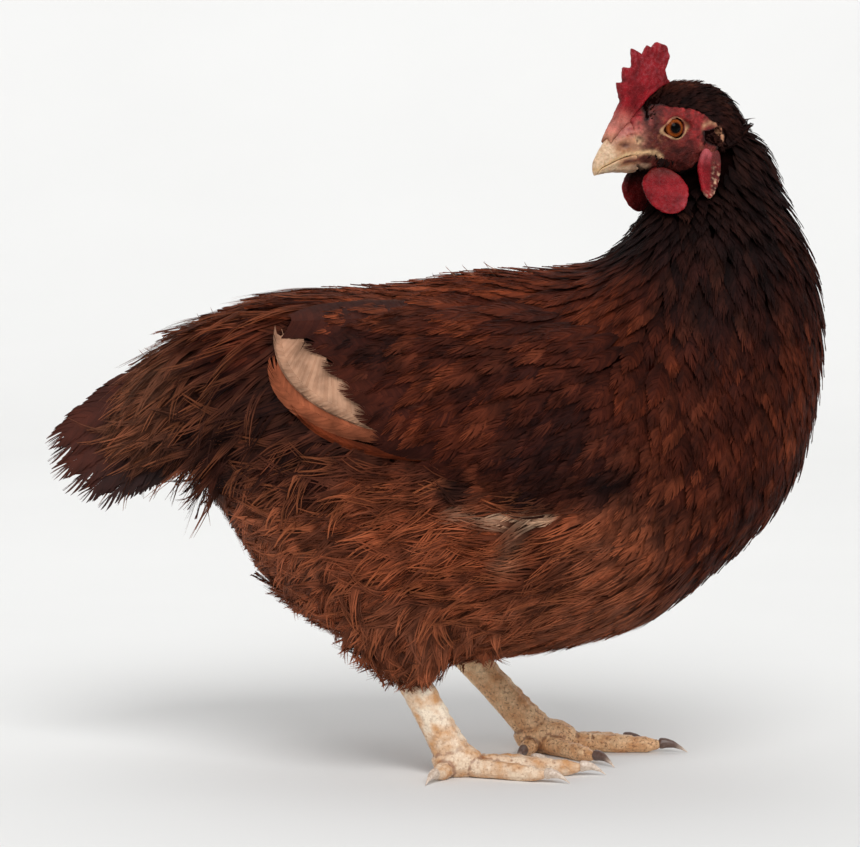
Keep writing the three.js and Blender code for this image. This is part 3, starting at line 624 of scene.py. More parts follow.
tint = mix(coat_dye, lifted, ground, warm)
tint = mix(coat_dye, parts.outputs[0], tint, deep_brown)
tint = mix(coat_dye, parts.outputs[2], tint, pale)
coat_dye.links.new(tint, dye_out.inputs["Color"])

# Pebbled flesh: fine warts, as on comb, face and wattles, with darker clefts between them as
# painted shade and lighter tops as painted highlights.
warty_flesh, flesh_in, flesh_out = effect("warty flesh", [
    ("Tint", "Color", rgb(150, 40, 50)), ("Wart size", "Float", 900.0)],
    [("Color", "Color"), ("Height", "Float")])
warts = grain(warty_flesh, 900.0, kind="Voronoi", Randomness=0.9)
warty_flesh.links.new(flesh_in.outputs["Wart size"], warts.inputs["Scale"])
tops = spread(warty_flesh, warts.outputs["Distance"], 0.1, 0.55, 1.0, 0.0)
cloud = spread(warty_flesh, grain(warty_flesh, 160.0, 4.0).outputs["Fac"], 0.35, 0.68)
deep = mix(warty_flesh, 1.0, flesh_in.outputs["Tint"], (0.55, 0.5, 0.5, 1), "MULTIPLY")
bright = mix(warty_flesh, 1.0, flesh_in.outputs["Tint"], (1.25, 1.2, 1.2, 1), "MULTIPLY")
flesh = mix(warty_flesh, cloud, deep, bright)
# Painted highlights: the wart tops lighter, over the painted shade of the clefts.
wart_top_highlight = mix(warty_flesh, 0.05, bright, rgb(236, 190, 184))
flesh = mix(warty_flesh, sum_up(warty_flesh, "MULTIPLY", tops, cloud), flesh, wart_top_highlight)
warty_flesh.links.new(flesh, flesh_out.inputs["Color"])
warty_flesh.links.new(tops, flesh_out.inputs["Height"])

skin_finish, tree, shader = finish(
    "naked skin", Roughness=0.55, Subsurface_Weight=0.05, Subsurface_Scale=0.002,
    Specular_IOR_Level=0.2)
under = use(tree, coat_dye, Marks=reading(tree, "marks", "Vector"), Lift=0.2, Streak=0.2)
naked = use(tree, warty_flesh, Tint=reading(tree, "tint", "Color"), Wart_size=1100.0)
tree.links.new(mix(tree, reading(tree, "naked"), under.outputs["Color"], naked.outputs["Color"]),
               shader.inputs["Base Color"])
relief(tree, shader, naked.outputs["Height"], 0.5, 0.0004)
skin.data.materials.append(skin_finish)
# Where feathers cover the skin: the coat's dyes, less russet and darkened by a noise, as painted
# shade below the feathers.
shaded_skin_finish, tree, shader = finish("covered skin", Roughness=0.9, Specular_IOR_Level=0.0)
under = use(tree, coat_dye, Marks=reading(tree, "marks", "Vector"), Lift=0.1, Streak=0.1)
down = spread(tree, grain(tree, 500.0, 4.0).outputs["Fac"], 0.3, 0.7, 0.35, 0.8)
tree.links.new(mix(tree, 1.0, under.outputs["Color"], grey(tree, down), "MULTIPLY"),
               shader.inputs["Base Color"])
skin.data.materials.append(shaded_skin_finish)
clad = np.concatenate([winged[1], head_faces + body_count])
clad = with_body(face)[clad].max(1) < 0.05
skin.data.polygons.foreach_set("material_index", clad.astype(np.int32))
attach(skin, "root")
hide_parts("torso", "neck", "head", "thigh_left", "thigh_right",
            "wing_left", "wing_right", "tail")


# Eyes: wet balls set in the head, each with a black pupil in an orange-brown iris. The cornea
# swells a little over the iris; each ball sits behind the lids.
IRIS_RADIUS = 4.9                       # mm
PUPIL_RADIUS = 2.5
CORNEA_SWELL, CORNEA_ANGLE = 0.55, 30   # mm at its middle, and degrees to where it fades
EYE_LOOK = (0.3, 1.0, 0.03)             # forward, outward and up


def eyeball(side):
    """One ball, finer towards the pupil, with the cornea's swell."""
    tilts = np.radians(np.concatenate([np.linspace(0.2, 60, 34), np.linspace(64, 179.5, 22)]))
    turns = np.linspace(0, 2 * np.pi, 56, endpoint=False)
    look = np.array(EYE_LOOK) * (1, side, 1)
    look /= np.linalg.norm(look)
    across = np.cross(look, (0, 0, 1))
    across /= np.linalg.norm(across)
    over = np.cross(across, look)
    swell = EYE_RADIUS + CORNEA_SWELL * np.exp(-(tilts / math.radians(CORNEA_ANGLE)) ** 2)
    ring = np.cos(turns)[:, None] * across + np.sin(turns)[:, None] * over
    points = (swell * np.cos(tilts))[:, None, None] * look \
        + (swell * np.sin(tilts))[:, None, None] * ring
    middle = np.array((EYE_SPOT[0], side * EYE_SPOT[1], EYE_SPOT[2]))
    faces = ringed(points)[1]
    faces = faces if side > 0 else faces[:, ::-1]
    ball = mesh_piece("eye_left_ball" if side > 0 else "eye_right_ball",
                      on_head(points.reshape(-1, 3) + middle), faces)
    away = EYE_RADIUS * np.sin(np.minimum(tilts, math.pi / 2))
    mark_points(ball, "from_middle", np.repeat(away, len(turns)))
    return ball


eye_finish, tree, shader = finish("wet eye", Roughness=0.1, Specular_IOR_Level=0.06)
away = reading(tree, "from_middle")
rays = spread(tree, grain(tree, 2400.0).outputs["Fac"], 0.3, 0.7)
iris = mix(tree, rays, rgb(96, 40, 16), rgb(164, 84, 36))
iris = mix(tree, spread(tree, away, PUPIL_RADIUS, PUPIL_RADIUS + 1.1), rgb(60, 26, 12), iris)
iris = mix(tree, spread(tree, away, IRIS_RADIUS - 0.9, IRIS_RADIUS), iris, rgb(36, 18, 12))
tone = mix(tree, spread(tree, away, PUPIL_RADIUS - 0.15, PUPIL_RADIUS + 0.15),
           rgb(8, 6, 6), iris)
tree.links.new(tone, shader.inputs["Base Color"])
for side, name in ((-1, "eye_right"), (1, "eye_left")):
    ball = eyeball(side)
    ball.data.materials.append(eye_finish)
    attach(ball, "root")
    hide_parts(name)


# Beak: two horny sheaths that grow over the jaw bones and wear at the tip. The upper one hooks
# over the lower; the horn is pale buff, browner at the nostrils, with painted shade along the
# mouth under the upper sheath's edge.
BEAK_CELL = 0.00042                     # m
NOSTRIL = (42.5, -4.4, 3.2, 1.3)        # forward and up of the head's middle, length, height, mm
NOSTRIL_DEPTH = 0.8
BEAK_TUCK = 1.8                         # of the sheaths' rear ends under the skin, mm

horn, horn_in, horn_out = effect("grown horn", [
    ("Tint", "Color", rgb(224, 196, 152))], [("Color", "Color"), ("Height", "Float")])
lines = spread(horn, grain(horn, 700.0, 5.0).outputs["Fac"], 0.3, 0.7)
dark_line = mix(horn, 1.0, horn_in.outputs["Tint"], (0.62, 0.55, 0.5, 1), "MULTIPLY")
horn.links.new(mix(horn, lines, dark_line, horn_in.outputs["Tint"]), horn_out.inputs["Color"])
horn.links.new(lines, horn_out.inputs["Height"])

beak_finish, tree, shader = finish(
    "beak horn", Roughness=0.42, Subsurface_Weight=0.12, Subsurface_Scale=0.0015,
    Specular_IOR_Level=0.35)
tone = use(tree, horn, Tint=reading(tree, "tint", "Color"))
base = use(tree, warty_flesh, Tint=reading(tree, "tint", "Color"), Wart_size=900.0)
fleshy = reading(tree, "fleshy")
tree.links.new(mix(tree, fleshy, tone.outputs["Color"], base.outputs["Color"]),
               shader.inputs["Base Color"])
relief(tree, shader, sum_up(tree, "ADD", tone.outputs["Height"], sum_up(
    tree, "MULTIPLY", base.outputs["Height"], fleshy)), 0.35, 0.0004)
for name in ("beak_upper", "beak_lower"):
    points, faces = cast([solid_arrays([name])], BEAK_CELL, rounds=10)
    local = head_local(points)
    patchy = ripple(points, 2.2, 4.0)
    beak = mesh_piece(name + "_horn", points, faces)
    fleshy = step(42, 37, local[:, 0])
    nostril = around(local, *NOSTRIL) * (name == "beak_upper")
    mark_points(beak, "tint", paint(FACE_GROUND, face_coats(local, patchy)))
    mark_points(beak, "fleshy", fleshy)
    swell = (name == "beak_upper") * step(45, 36, local[:, 0]) * step(-8, -5, local[:, 2]) \
        * (0.3 + 0.4 * ripple(points, 3.0, 2.0)) + 0.35 * step(39.5, 37.5, local[:, 0])
    swell -= NOSTRIL_DEPTH * nostril
    tucked = -head_axes[0] * step(39, 36.8, local[:, 0])[:, None] * BEAK_TUCK
    normals = mesh_points(beak.data)[1]
    reshape(beak, points + (normals * swell[:, None] + tucked) * 0.001)
    beak.data.materials.append(beak_finish)
    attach(beak, "root")
    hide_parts(name)


# Comb, wattles and ear lobes: thick folds of bare, blood-filled flesh, crimson and covered in
# fine warts, paler where the surface is stretched. They grow from the skin of the head.
FOLD_CELL = 0.0006                      # m
FOLD_GROUND = (134, 20, 30)

fold_finish, tree, shader = finish(
    "comb flesh", Roughness=0.5, Subsurface_Weight=0.1, Subsurface_Scale=0.003,
    Subsurface_Radius=(1.0, 0.2, 0.15), Specular_IOR_Level=0.18)
warty = use(tree, warty_flesh, Tint=reading(tree, "tint", "Color"), Wart_size=1000.0)
tree.links.new(warty.outputs["Color"], shader.inputs["Base Color"])
relief(tree, shader, warty.outputs["Height"], 0.6, 0.0005)

# Hanging folds: middle (forward, out, up of the head's middle), half width, half height,
# thickness, splay outward, lean forward, how far the upper half is drawn up and widened, and
# how far the rear edge stands out.
HANGING_FOLDS = {
    "wattle_left": ((22.6, 15.4, -28.6), 9.8, 11.6, 3.4, 0.6, -0.11, 0.16, 0.08, 0.55),
    "wattle_right": ((18.4, 9.5, -28.0), 12.8, 12.2, 3.4, 0.24, 0.2, 0.3, 0.0, 0.0),
    "earlobe_left": ((0.4, 23.4, -18.6), 6.8, 13.8, 3.4, 0.42, -0.34, 0.05, 0.2, 0.0),
    "earlobe_right": ((0.4, 23.4, -18.6), 6.8, 13.8, 3.4, 0.42, -0.34, 0.05, 0.2, 0.0),
}


def hanging_fold(middle, wide, tall, thick, splay, lean, drawn, flare, yaw, side):
    """A rounded flap with a rolled rim, hanging from its upper edge."""
    spans = np.array([0.0, 0.16, 0.32, 0.48, 0.62, 0.74, 0.84, 0.91, 0.96, 0.99, 1.0])
    body = np.array([0.62, 0.62, 0.6, 0.58, 0.6, 0.72, 0.9, 0.92, 0.7, 0.38, 0.0]) * thick / 2
    spans, body = np.append(spans, spans[-2::-1]), np.append(body, -body[-2::-1])
    turn = np.linspace(0, 2 * np.pi, 72, endpoint=False)
    shape = 1 + 0.04 * np.cos(turn * 2 + 0.6) + 0.025 * np.sin(turn * 3) \
        + 0.008 * np.sin(turn * 5 + 1)
    ahead = spans[1:-1, None] * wide * np.cos(turn) * shape * (1 + flare * np.sin(turn))
    up = spans[1:-1, None] * tall * np.sin(turn) * shape
    up = up * (1 + drawn * np.maximum(np.sin(turn), 0) ** 2)
    over = body[1:-1, None] + 0.03 * (up / tall) * ahead - yaw * ahead
    ahead = ahead + lean * up
    local = np.stack([ahead, (over - splay * up) * side, up], 2)
    local = local + np.array((middle[0], middle[1] * side, middle[2]))
    points, faces = ringed(local)
    return on_head(points), faces if side > 0 else faces[:, ::-1]


folds = [("comb", 0)] + [(kind + label, side) for kind in ("wattle", "earlobe")
                         for label, side in (("_left", 1), ("_right", -1))]
fold_points, fold_faces = [], []
for name, side in folds:
    source = solid_arrays([name]) if not side else hanging_fold(*HANGING_FOLDS[name], side)
    points, faces = cast([source], FOLD_CELL, rounds=4)
    fold_piece = mesh_piece(name + "_flesh", points, faces)
    normals = mesh_points(fold_piece.data)[1]
    local = head_local(points)
    patchy = ripple(points, 1.6, 2.0)
    lumps = ripple(points, 7.0, 1.0) * 0.45 + ripple(points, 2.6, 5.0) * 0.3
    lumps += ripple(points, 1.2, 9.0) * 0.14
    if name == "comb":
        seat = np.linalg.norm(nearest(head_form, points)[0] - points, axis=1) * 1000
        lumps += 0.55 * np.maximum(step(2.2, 0.6, seat), step(9, 4, local[:, 2]))
    reshape(fold_piece, points + normals * lumps[:, None] * 0.001)
    ahead, up = local[:, 0], local[:, 2]
    if name == "comb":
        coats = [(step(16, 40, up) * step(-0.2, 0.5, patchy) * 0.3, (182, 92, 100)),
                 (step(17, 5, up) * step(30, 42, ahead) * 0.75, (206, 132, 116)),
                 (step(4, -2, up) * step(38, 44, ahead) * 0.6, (200, 150, 116))]
    elif name.startswith("wattle"):
        # Painted shade: each wattle is darker at its top, where it hangs under the jaw, and on its
        # inner face, turned to the other wattle, darkest there towards the top.
        inner = step(0.1, -0.5, (normals @ head_axes.T)[:, 1] * side)
        coats = [(step(26, 12, ahead) * step(-26, -37, up) * step(-0.3, 0.4, patchy) * 0.5,
                  (180, 96, 104)),
                 (step(-24, -18, up) * 0.85, (84, 30, 26)), (inner * 0.9, (86, 22, 20)),
                 (inner * step(-28, -20, up) * 0.9, (30, 12, 12))]
    else:
        inside = step(1.0, -1.2, ahead - 0.4 + 0.34 * (up + 18.6) + 1.2 * patchy)
        coats = [(step(-17, -8, up) * 0.6, (184, 100, 104)), (inside * 0.85, (84, 34, 30)),
                 (inside * step(0.15, 0.6, ripple(points, 3.0, 7.0)) * 0.6, (40, 18, 18)),
                 (inside * step(0.0, 0.5, patchy) * step(-12, -22, up) * 0.85, (206, 166, 136)),
                 (step(-27, -31, up) * step(-0.5, 0.3, patchy) * 0.8, (206, 160, 134))]
    mark_points(fold_piece, "tint", paint(FOLD_GROUND, coats))
    fold_piece.data.materials.append(fold_finish)
    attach(fold_piece, "root")
    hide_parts(name)
    if side:
        fold_points.append(mesh_points(fold_piece.data)[0])
        fold_faces.append(faces + sum(len(part) for part in fold_points[:-1]))
    else:
        comb_tree = BVHTree.FromPolygons(mesh_points(fold_piece.data)[0].tolist(), faces.tolist())
fold_tree = BVHTree.FromPolygons(
    np.concatenate(fold_points).tolist(), np.concatenate(fold_faces).tolist())


# Legs: shank, foot and toes in one sleeve of horny scaled skin, with broad plates down the
# front and over the toes and small round scales elsewhere. Cream and tan, browner in creases.
LEG_CELL = 0.0006                       # m
LEG_GROWS = 8.0                         # how far the shank runs on up inside the thigh, mm
TOES = ("middle", "inner", "outer", "hind")
# How toes narrow: by the first share over the last 8 mm, by the second over the last 2 mm.
TOE_TAPER = (0.32, 0.22)
TOE_GIRTH = 0.0075                      # how far from its line the taper takes hold of a toe, m


def toe_end(toe, side):
    """Where a claw leaves its toe, the way the toe points there, and the claw's tip."""
    claw = solid_arrays([f"claw_{toe}_{side}"])[0]
    middle = solid_arrays([f"toe_{toe}_{side}"])[0].mean(0)
    away = np.linalg.norm(claw - middle, axis=1)
    root = claw[away < away.min() + 0.0015].mean(0)
    return root, (root - middle) / np.linalg.norm(root - middle), claw[away.argmax()]


scaly, scaly_in, scaly_out = effect("small scales", [
    ("Pale", "Color", rgb(236, 218, 186)), ("Tan", "Color", rgb(196, 152, 104)),
    ("Brown", "Color", rgb(110, 72, 50)), ("Soil", "Float", 0.3)],
    [("Color", "Color"), ("Height", "Float")])
scales = grain(scaly, 420.0, kind="Voronoi", Randomness=0.8)
scales.feature = "DISTANCE_TO_EDGE"
seams = spread(scaly, scales.outputs["Distance"], 0.02, 0.22, 1.0, 0.0)
blotch = spread(scaly, grain(scaly, 130.0, 5.0).outputs["Fac"], 0.38, 0.66)
specks = spread(scaly, grain(scaly, 650.0, 2.0).outputs["Fac"], 0.52, 0.66)
tone = mix(scaly, blotch, scaly_in.outputs["Pale"], scaly_in.outputs["Tan"])
soiled = sum_up(scaly, "MULTIPLY", scaly_in.outputs["Soil"], sum_up(
    scaly, "MAXIMUM", specks, sum_up(scaly, "MULTIPLY", seams, 0.35)))
scaly.links.new(mix(scaly, soiled, tone, scaly_in.outputs["Brown"]), scaly_out.inputs["Color"])
scaly.links.new(sum_up(scaly, "SUBTRACT", 1.0, seams), scaly_out.inputs["Height"])


def hollows(points, faces, normals, rounds):
    """How deep each point lies in a crease between its neighbours, from 0 to 1."""
    edges = np.concatenate([faces[:, [k, (k + 1) % 4]] for k in range(4)])
    links = np.unique(np.sort(edges, 1), axis=0)
    count = np.bincount(links.reshape(-1), minlength=len(points))[:, None]

    def even(values):
        total = np.zeros_like(values)
        np.add.at(total, links[:, 0], values[links[:, 1]])
        np.add.at(total, links[:, 1], values[links[:, 0]])
        return total / count

    soft = points
    for _ in range(rounds):
        soft = even(soft)
    depth = ((soft - points) * normals).sum(1)[:, None]
    return np.clip(even(even(depth))[:, 0] / 0.00005 - 0.15, 0, 1)


# Pale, tan and brown of each leg, and how soiled it is. The far, left leg is browner and more
# soiled, partly as dirt and partly as painted shade.
LEG_TONES = {
    "right": (rgb(248, 232, 208), rgb(208, 154, 104), rgb(116, 62, 38), 0.5),
    "left": (rgb(255, 218, 172), rgb(216, 158, 108), rgb(92, 48, 30), 0.9),
}
for side, (pale, tan, brown, soil_and_shade) in LEG_TONES.items():
    names = ["shank_" + side, "foot_" + side] + [f"toe_{toe}_{side}" for toe in TOES]
    points, faces = cast([solid_arrays(names)], LEG_CELL, rounds=2)
    top = points[:, 2].max()
    upper, lower = (points[np.abs(points[:, 2] - top + deep) < 0.003].mean(0)
                    for deep in (0.004, 0.024))
    grown = step(top - 0.014, top - 0.003, points[:, 2])[:, None] * LEG_GROWS * 0.001
    points = points + (upper - lower) / np.linalg.norm(upper - lower) * grown
    for toe in TOES:
        root, way, _ = toe_end(toe, side)
        along = (points - root) @ way
        across = points - root - along[:, None] * way
        narrow = TOE_TAPER[0] * step(-0.008, -0.001, along) \
            + TOE_TAPER[1] * step(-0.002, 0.0004, along)
        narrow[(np.linalg.norm(across, axis=1) > TOE_GIRTH) | (along > 0.004)] = 0
        points = points - across * narrow[:, None]
    leg = mesh_piece("leg_skin_" + side, points, faces)
    normals = mesh_points(leg.data)[1]
    mark_points(leg, "crease", hollows(points, faces, normals, rounds=5))
    warts = ripple(points, 3.0, 4.0) * 0.22 + ripple(points, 1.3, 6.0) * 0.12
    floor_side = step(0.0008, 0.003, points[:, 2])
    reshape(leg, points + normals * (warts * floor_side)[:, None] * 0.001)
    leg_finish, tree, shader = finish("leg scales " + side, Roughness=0.5)
    place = put(tree, "SeparateXYZ", {0: put(tree, "TexCoord").outputs["Object"]})
    low = spread(tree, place.outputs[2], 0.012, 0.05, 1.0, 0.35)
    tone = use(tree, scaly, Pale=pale, Tan=tan, Brown=brown,
               Soil=sum_up(tree, "MULTIPLY", low, soil_and_shade))
    creased = sum_up(tree, "MULTIPLY", reading(tree, "crease"),
                     spread(tree, low, 0.86, 1.0, 0.08, 0.6))
    toned = mix(tree, spread(tree, low, 0.5, 1.0, 0.0, 0.3), tone.outputs["Color"], tan)
    tree.links.new(mix(tree, creased, toned, brown), shader.inputs["Base Color"])
    relief(tree, shader, tone.outputs["Height"], 0.3, 0.0003)
    leg.data.materials.append(leg_finish)
    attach(leg, "root")
    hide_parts(*names)


# Claws: eight curved nails of pale horn, dark along the quick and worn at the tip, each
# growing out of the end of its toe.
CLAW_CELL = 0.00035                     # m
CLAW_SWELL = 0.8                        # how much thicker the horn stands at the root, mm
CLAW_GROWS = {"right": 0.1, "left": 0.3}    # how much longer the horn has grown, of its length
CLAW_QUICK = {"right": 0.12, "left": 0.9}   # how dark the quick shows through the horn
FLOOR_GAP = 0.0002                      # m

claw_finish, tree, shader = finish("claw horn", Roughness=0.38)
tone = use(tree, horn, Tint=mix(
    tree, reading(tree, "quick"), rgb(240, 222, 204), rgb(84, 52, 46)))
tree.links.new(tone.outputs["Color"], shader.inputs["Base Color"])
relief(tree, shader, tone.outputs["Height"], 0.2, 0.0003)
for side in ("right", "left"):
    for toe in TOES:
        name = f"claw_{toe}_{side}"
        points, faces = cast([solid_arrays([name])], CLAW_CELL, rounds=8)
        claw = mesh_piece(name + "_horn", points, faces)
        root, _, tip = toe_end(toe, side)
        along = (points - root) @ (tip - root) / ((tip - root) @ (tip - root))
        normals = mesh_points(claw.data)[1]
        points = points + normals * step(1.0, 0.1, along)[:, None] * CLAW_SWELL * 0.001 \
            + (tip - root) * np.clip(along, 0, 1)[:, None] * CLAW_GROWS[side]
        points[:, 2] = np.maximum(points[:, 2], FLOOR_GAP)
        reshape(claw, points)
        mark_points(claw, "quick", step(0.9, 0.4, along) * CLAW_QUICK[side])
        claw.data.materials.append(claw_finish)
        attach(claw, "root")
        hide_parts(name)


# Body coat: several thousand contour feathers in tracts, each a shaft with barbs on both
# sides. Each grows from the skin, lies back over the next ones and ends at the outer form.
# Lie of the coat: tract, place (mm, right and left alike), direction, length, width, gap,
# looseness of the barbs.
COAT_LIE = [
    ("hackle", 152, 16, 344, 0.75, 0.1, -0.6, 17, 4.8, 2.6, 0.3),
    ("hackle", 158, 12, 330, 0.6, 0.1, -0.9, 19, 5.4, 3.0, 0.25),
    ("hackle", 150, 22, 318, 0.1, 0.1, -1, 19, 5.8, 3.6, 0.2),
    ("hackle", 178, 0, 318, 0.2, 0.0, -1, 19, 6, 4.0, 0.2),
    ("hackle", 188, 10, 292, 0.2, 0.1, -1, 27, 7.5, 4.6, 0.25),
    ("hackle", 122, 10, 312, -0.25, 0.0, -1, 20, 6, 4.0, 0.2),
    ("hackle", 116, 15, 285, -0.6, 0.1, -0.8, 26, 7.5, 4.6, 0.2),
    ("hackle", 150, 55, 275, 0.05, 0.25, -1, 32, 9, 5.0, 0.2),
    ("cape", 112, 50, 262, -0.5, 0.3, -0.85, 32, 10, 5.4, 0.2),
    ("cape", 200, 25, 255, 0.25, 0.1, -1, 30, 11, 5.6, 0.2),
    ("cape", 150, 72, 240, 0.05, 0.2, -1, 32, 12, 5.8, 0.2),
    ("back", 88, 0, 272, -0.95, 0.0, -0.25, 30, 11, 5.8, 0.25),
    ("back", 45, 25, 263, -1, 0.15, -0.1, 32, 12, 6.0, 0.3),
    ("back", -15, 25, 257, -1, 0.1, -0.1, 34, 12, 6.0, 0.35),
    ("back", -10, 70, 235, -0.9, 0.1, -0.35, 32, 12, 6.2, 0.3),
    ("saddle", -62, 30, 250, -0.97, 0.1, -0.1, 42, 9, 5.6, 0.6),
    ("saddle", -72, 62, 220, -0.85, 0.05, -0.55, 44, 9, 5.6, 0.6),
    ("saddle", -105, 25, 236, -0.9, 0.05, -0.4, 46, 9, 5.2, 0.75),
    ("saddle", -105, 52, 195, -0.8, 0.0, -0.6, 48, 9, 5.2, 0.7),
    ("saddle", -140, 16, 214, -0.8, 0.05, -0.65, 50, 8, 5.0, 0.6),
    ("saddle", -142, 30, 185, -0.8, 0.0, -0.6, 52, 8, 5.0, 0.7),
    ("breast", 206, 15, 215, 0.05, 0.05, -1, 30, 14, 6.0, 0.15),
    ("breast", 175, 60, 205, -0.05, 0.1, -1, 30, 14, 6.0, 0.15),
    ("breast", 140, 82, 200, -0.2, 0.05, -1, 30, 14, 6.0, 0.2),
    ("breast", 198, 20, 160, -0.25, 0.05, -1, 30, 14, 6.0, 0.2),
    ("breast", 165, 65, 150, -0.45, 0.05, -0.9, 30, 14, 6.0, 0.25),
    ("breast", 135, 80, 160, -0.6, 0.0, -0.8, 30, 14, 6.0, 0.3),
    ("breast", 178, 20, 115, -0.7, 0.0, -0.7, 30, 14, 6.0, 0.3),
    ("belly", 140, 50, 98, -0.9, 0.0, -0.4, 30, 13, 6.0, 0.45),
    ("belly", 95, 20, 72, -1, 0.0, -0.15, 30, 13, 6.4, 0.5),
    ("belly", 30, 20, 58, -1, 0.0, -0.25, 30, 12, 6.0, 0.75),
    ("belly", -40, 20, 72, -0.95, 0.0, 0.0, 30, 12, 6.2, 0.8),
    ("flank", 105, 85, 130, -0.9, 0.0, -0.4, 30, 12, 5.6, 0.45),
    ("flank", 60, 92, 135, -0.95, 0.0, -0.25, 30, 11, 5.4, 0.6),
    ("flank", 10, 90, 145, -0.98, 0.0, -0.15, 32, 11, 5.4, 0.65),
    ("flank", 70, 80, 95, -0.9, 0.0, -0.45, 30, 11, 5.4, 0.65),
    ("flank", 25, 85, 105, -0.85, 0.0, -0.5, 30, 11, 5.4, 0.7),
    ("flank", -35, 80, 150, -0.95, 0.0, -0.3, 34, 11, 5.4, 0.7),
    ("rump", -70, 60, 165, -0.9, 0.0, -0.45, 38, 10, 5.4, 0.8),
    ("rump", -60, 60, 120, -0.8, 0.0, -0.65, 34, 11, 5.6, 0.85),
    ("rump", -100, 35, 145, -0.85, 0.0, -0.5, 36, 10, 5.6, 0.9),
    ("rump", -125, 15, 155, -0.9, 0.0, -0.4, 34, 10, 5.6, 0.8),
    ("rump", -85, 10, 105, -0.85, 0.0, -0.3, 32, 11, 5.8, 0.9),
    ("thigh", -35, 65, 100, -0.6, 0.0, -0.8, 32, 10, 5.2, 0.85),
    ("thigh", 20, 62, 80, -0.1, 0.0, -1, 27, 10, 5.0, 0.85),
    ("thigh", -15, 50, 65, -0.3, 0.0, -1, 20, 8, 4.4, 0.95),
]
ROOT_SINK = 0.0045                      # of the feathers' roots below the coat's outer form, m
WISP_SINK = 0.002                       # and of the wisps' roots
# The line from tail to head that the coat's unwrap follows, seen from the side: x and z, mm.
SPINE = np.array([(-215, 168), (-90, 178), (60, 165), (140, 215), (152, 290), (130, 350)], float)


def guide(rows, spot_of=body_spot, axes=np.eye(3), reach=30):
    """The lie between the rows of a table: direction, length, width, gap and looseness."""
    places = np.array([row[1:4] for row in rows], float)
    wishes = np.array([row[4:] for row in rows], float)

    def lie(points):
        spot = spot_of(points)
        side = np.where(spot[:, 1] < 0, -1.0, 1.0)
        spot[:, 1] = np.abs(spot[:, 1])
        far = np.linalg.norm(spot[:, None] - places, axis=2) / reach
        pull = 1 / (far ** 5 + 0.01)
        values = (pull @ wishes) / pull.sum(1, keepdims=True)
        values[:, 1] *= side
        values[:, :3] = unit(values[:, :3] @ axes)
        return values, pull.argmax(1)
    return lie


coat_lie = guide(COAT_LIE)


GRID = 0.008                            # of the search for roots nearby, m


def scatter(form, rng, gap_of, keep, tries):
    """Roots spread evenly over a form, no two nearer than the gap there."""
    corners = form["points"][form["faces"]]
    size = np.linalg.norm(
        np.cross(corners[:, 2] - corners[:, 0], corners[:, 3] - corners[:, 1]), axis=1)
    pick = rng.choice(len(corners), tries, p=size / size.sum())
    u, v = rng.random((2, tries, 1))
    spots = (corners[pick, 0] * (1 - u) + corners[pick, 1] * u) * (1 - v) \
        + (corners[pick, 3] * (1 - u) + corners[pick, 2] * u) * v
    spots = spots[keep(spots)]
    gaps = gap_of(spots)
    taken, kept = {}, []
    cells = np.floor(spots / GRID).astype(int).tolist()
    beside = [(i, j, k) for i in (-1, 0, 1) for j in (-1, 0, 1) for k in (-1, 0, 1)]
    for number, (x, y, z) in enumerate(spots.tolist()):
        i, j, k = cells[number]
        need = gaps[number] ** 2
        near = [p for a, b, c in beside for p in taken.get((i + a, j + b, k + c), ())]
        if all((x - p[0]) ** 2 + (y - p[1]) ** 2 + (z - p[2]) ** 2 > need for p in near):
            taken.setdefault((i, j, k), []).append((x, y, z))
            kept.append(number)
    return spots[kept]


STATIONS = 5                            # along each laid feather


def lay(form, lie, roots, headings, lengths, halves, cling, curls):
    """Runs each feather along the coat: five stations of a middle and two edges."""
    places, leans = nearest(form, roots)
    ways = unit(headings - (headings * leans).sum(1, keepdims=True) * leans)
    net, tilt = [], []
    hold = cling[:, None]
    for station in range(STATIONS):
        if station:
            free = places + ways * (lengths / (STATIONS - 1))[:, None]
            held, new_leans = nearest(form, free)
            places = free + (held - free) * hold
            leans = unit(leans + (new_leans - leans) * hold)
            wish = ways * 0.8 + lie(places)[0][:, :3] * 0.2
            wish = wish + np.cross(leans, ways) * curls[:, None]
            ways = unit(wish - (wish * leans).sum(1, keepdims=True) * leans * hold)
        over = np.cross(leans, ways)
        edges = []
        for side in (-1, 1):
            free = places + over * (halves * side)[:, None]
            held, lean = nearest(form, free)
            edges.append((free + (held - free) * hold, unit(leans + (lean - leans) * hold)))
        net.append(np.stack([edges[0][0], places, edges[1][0]], 1))
        tilt.append(np.stack([edges[0][1], leans, edges[1][1]], 1))
    return np.stack(net, 1), np.stack(tilt, 1)


SHAFT_SHADE = 0.9                       # of the shaft among the barbs' shades, 0 to 1


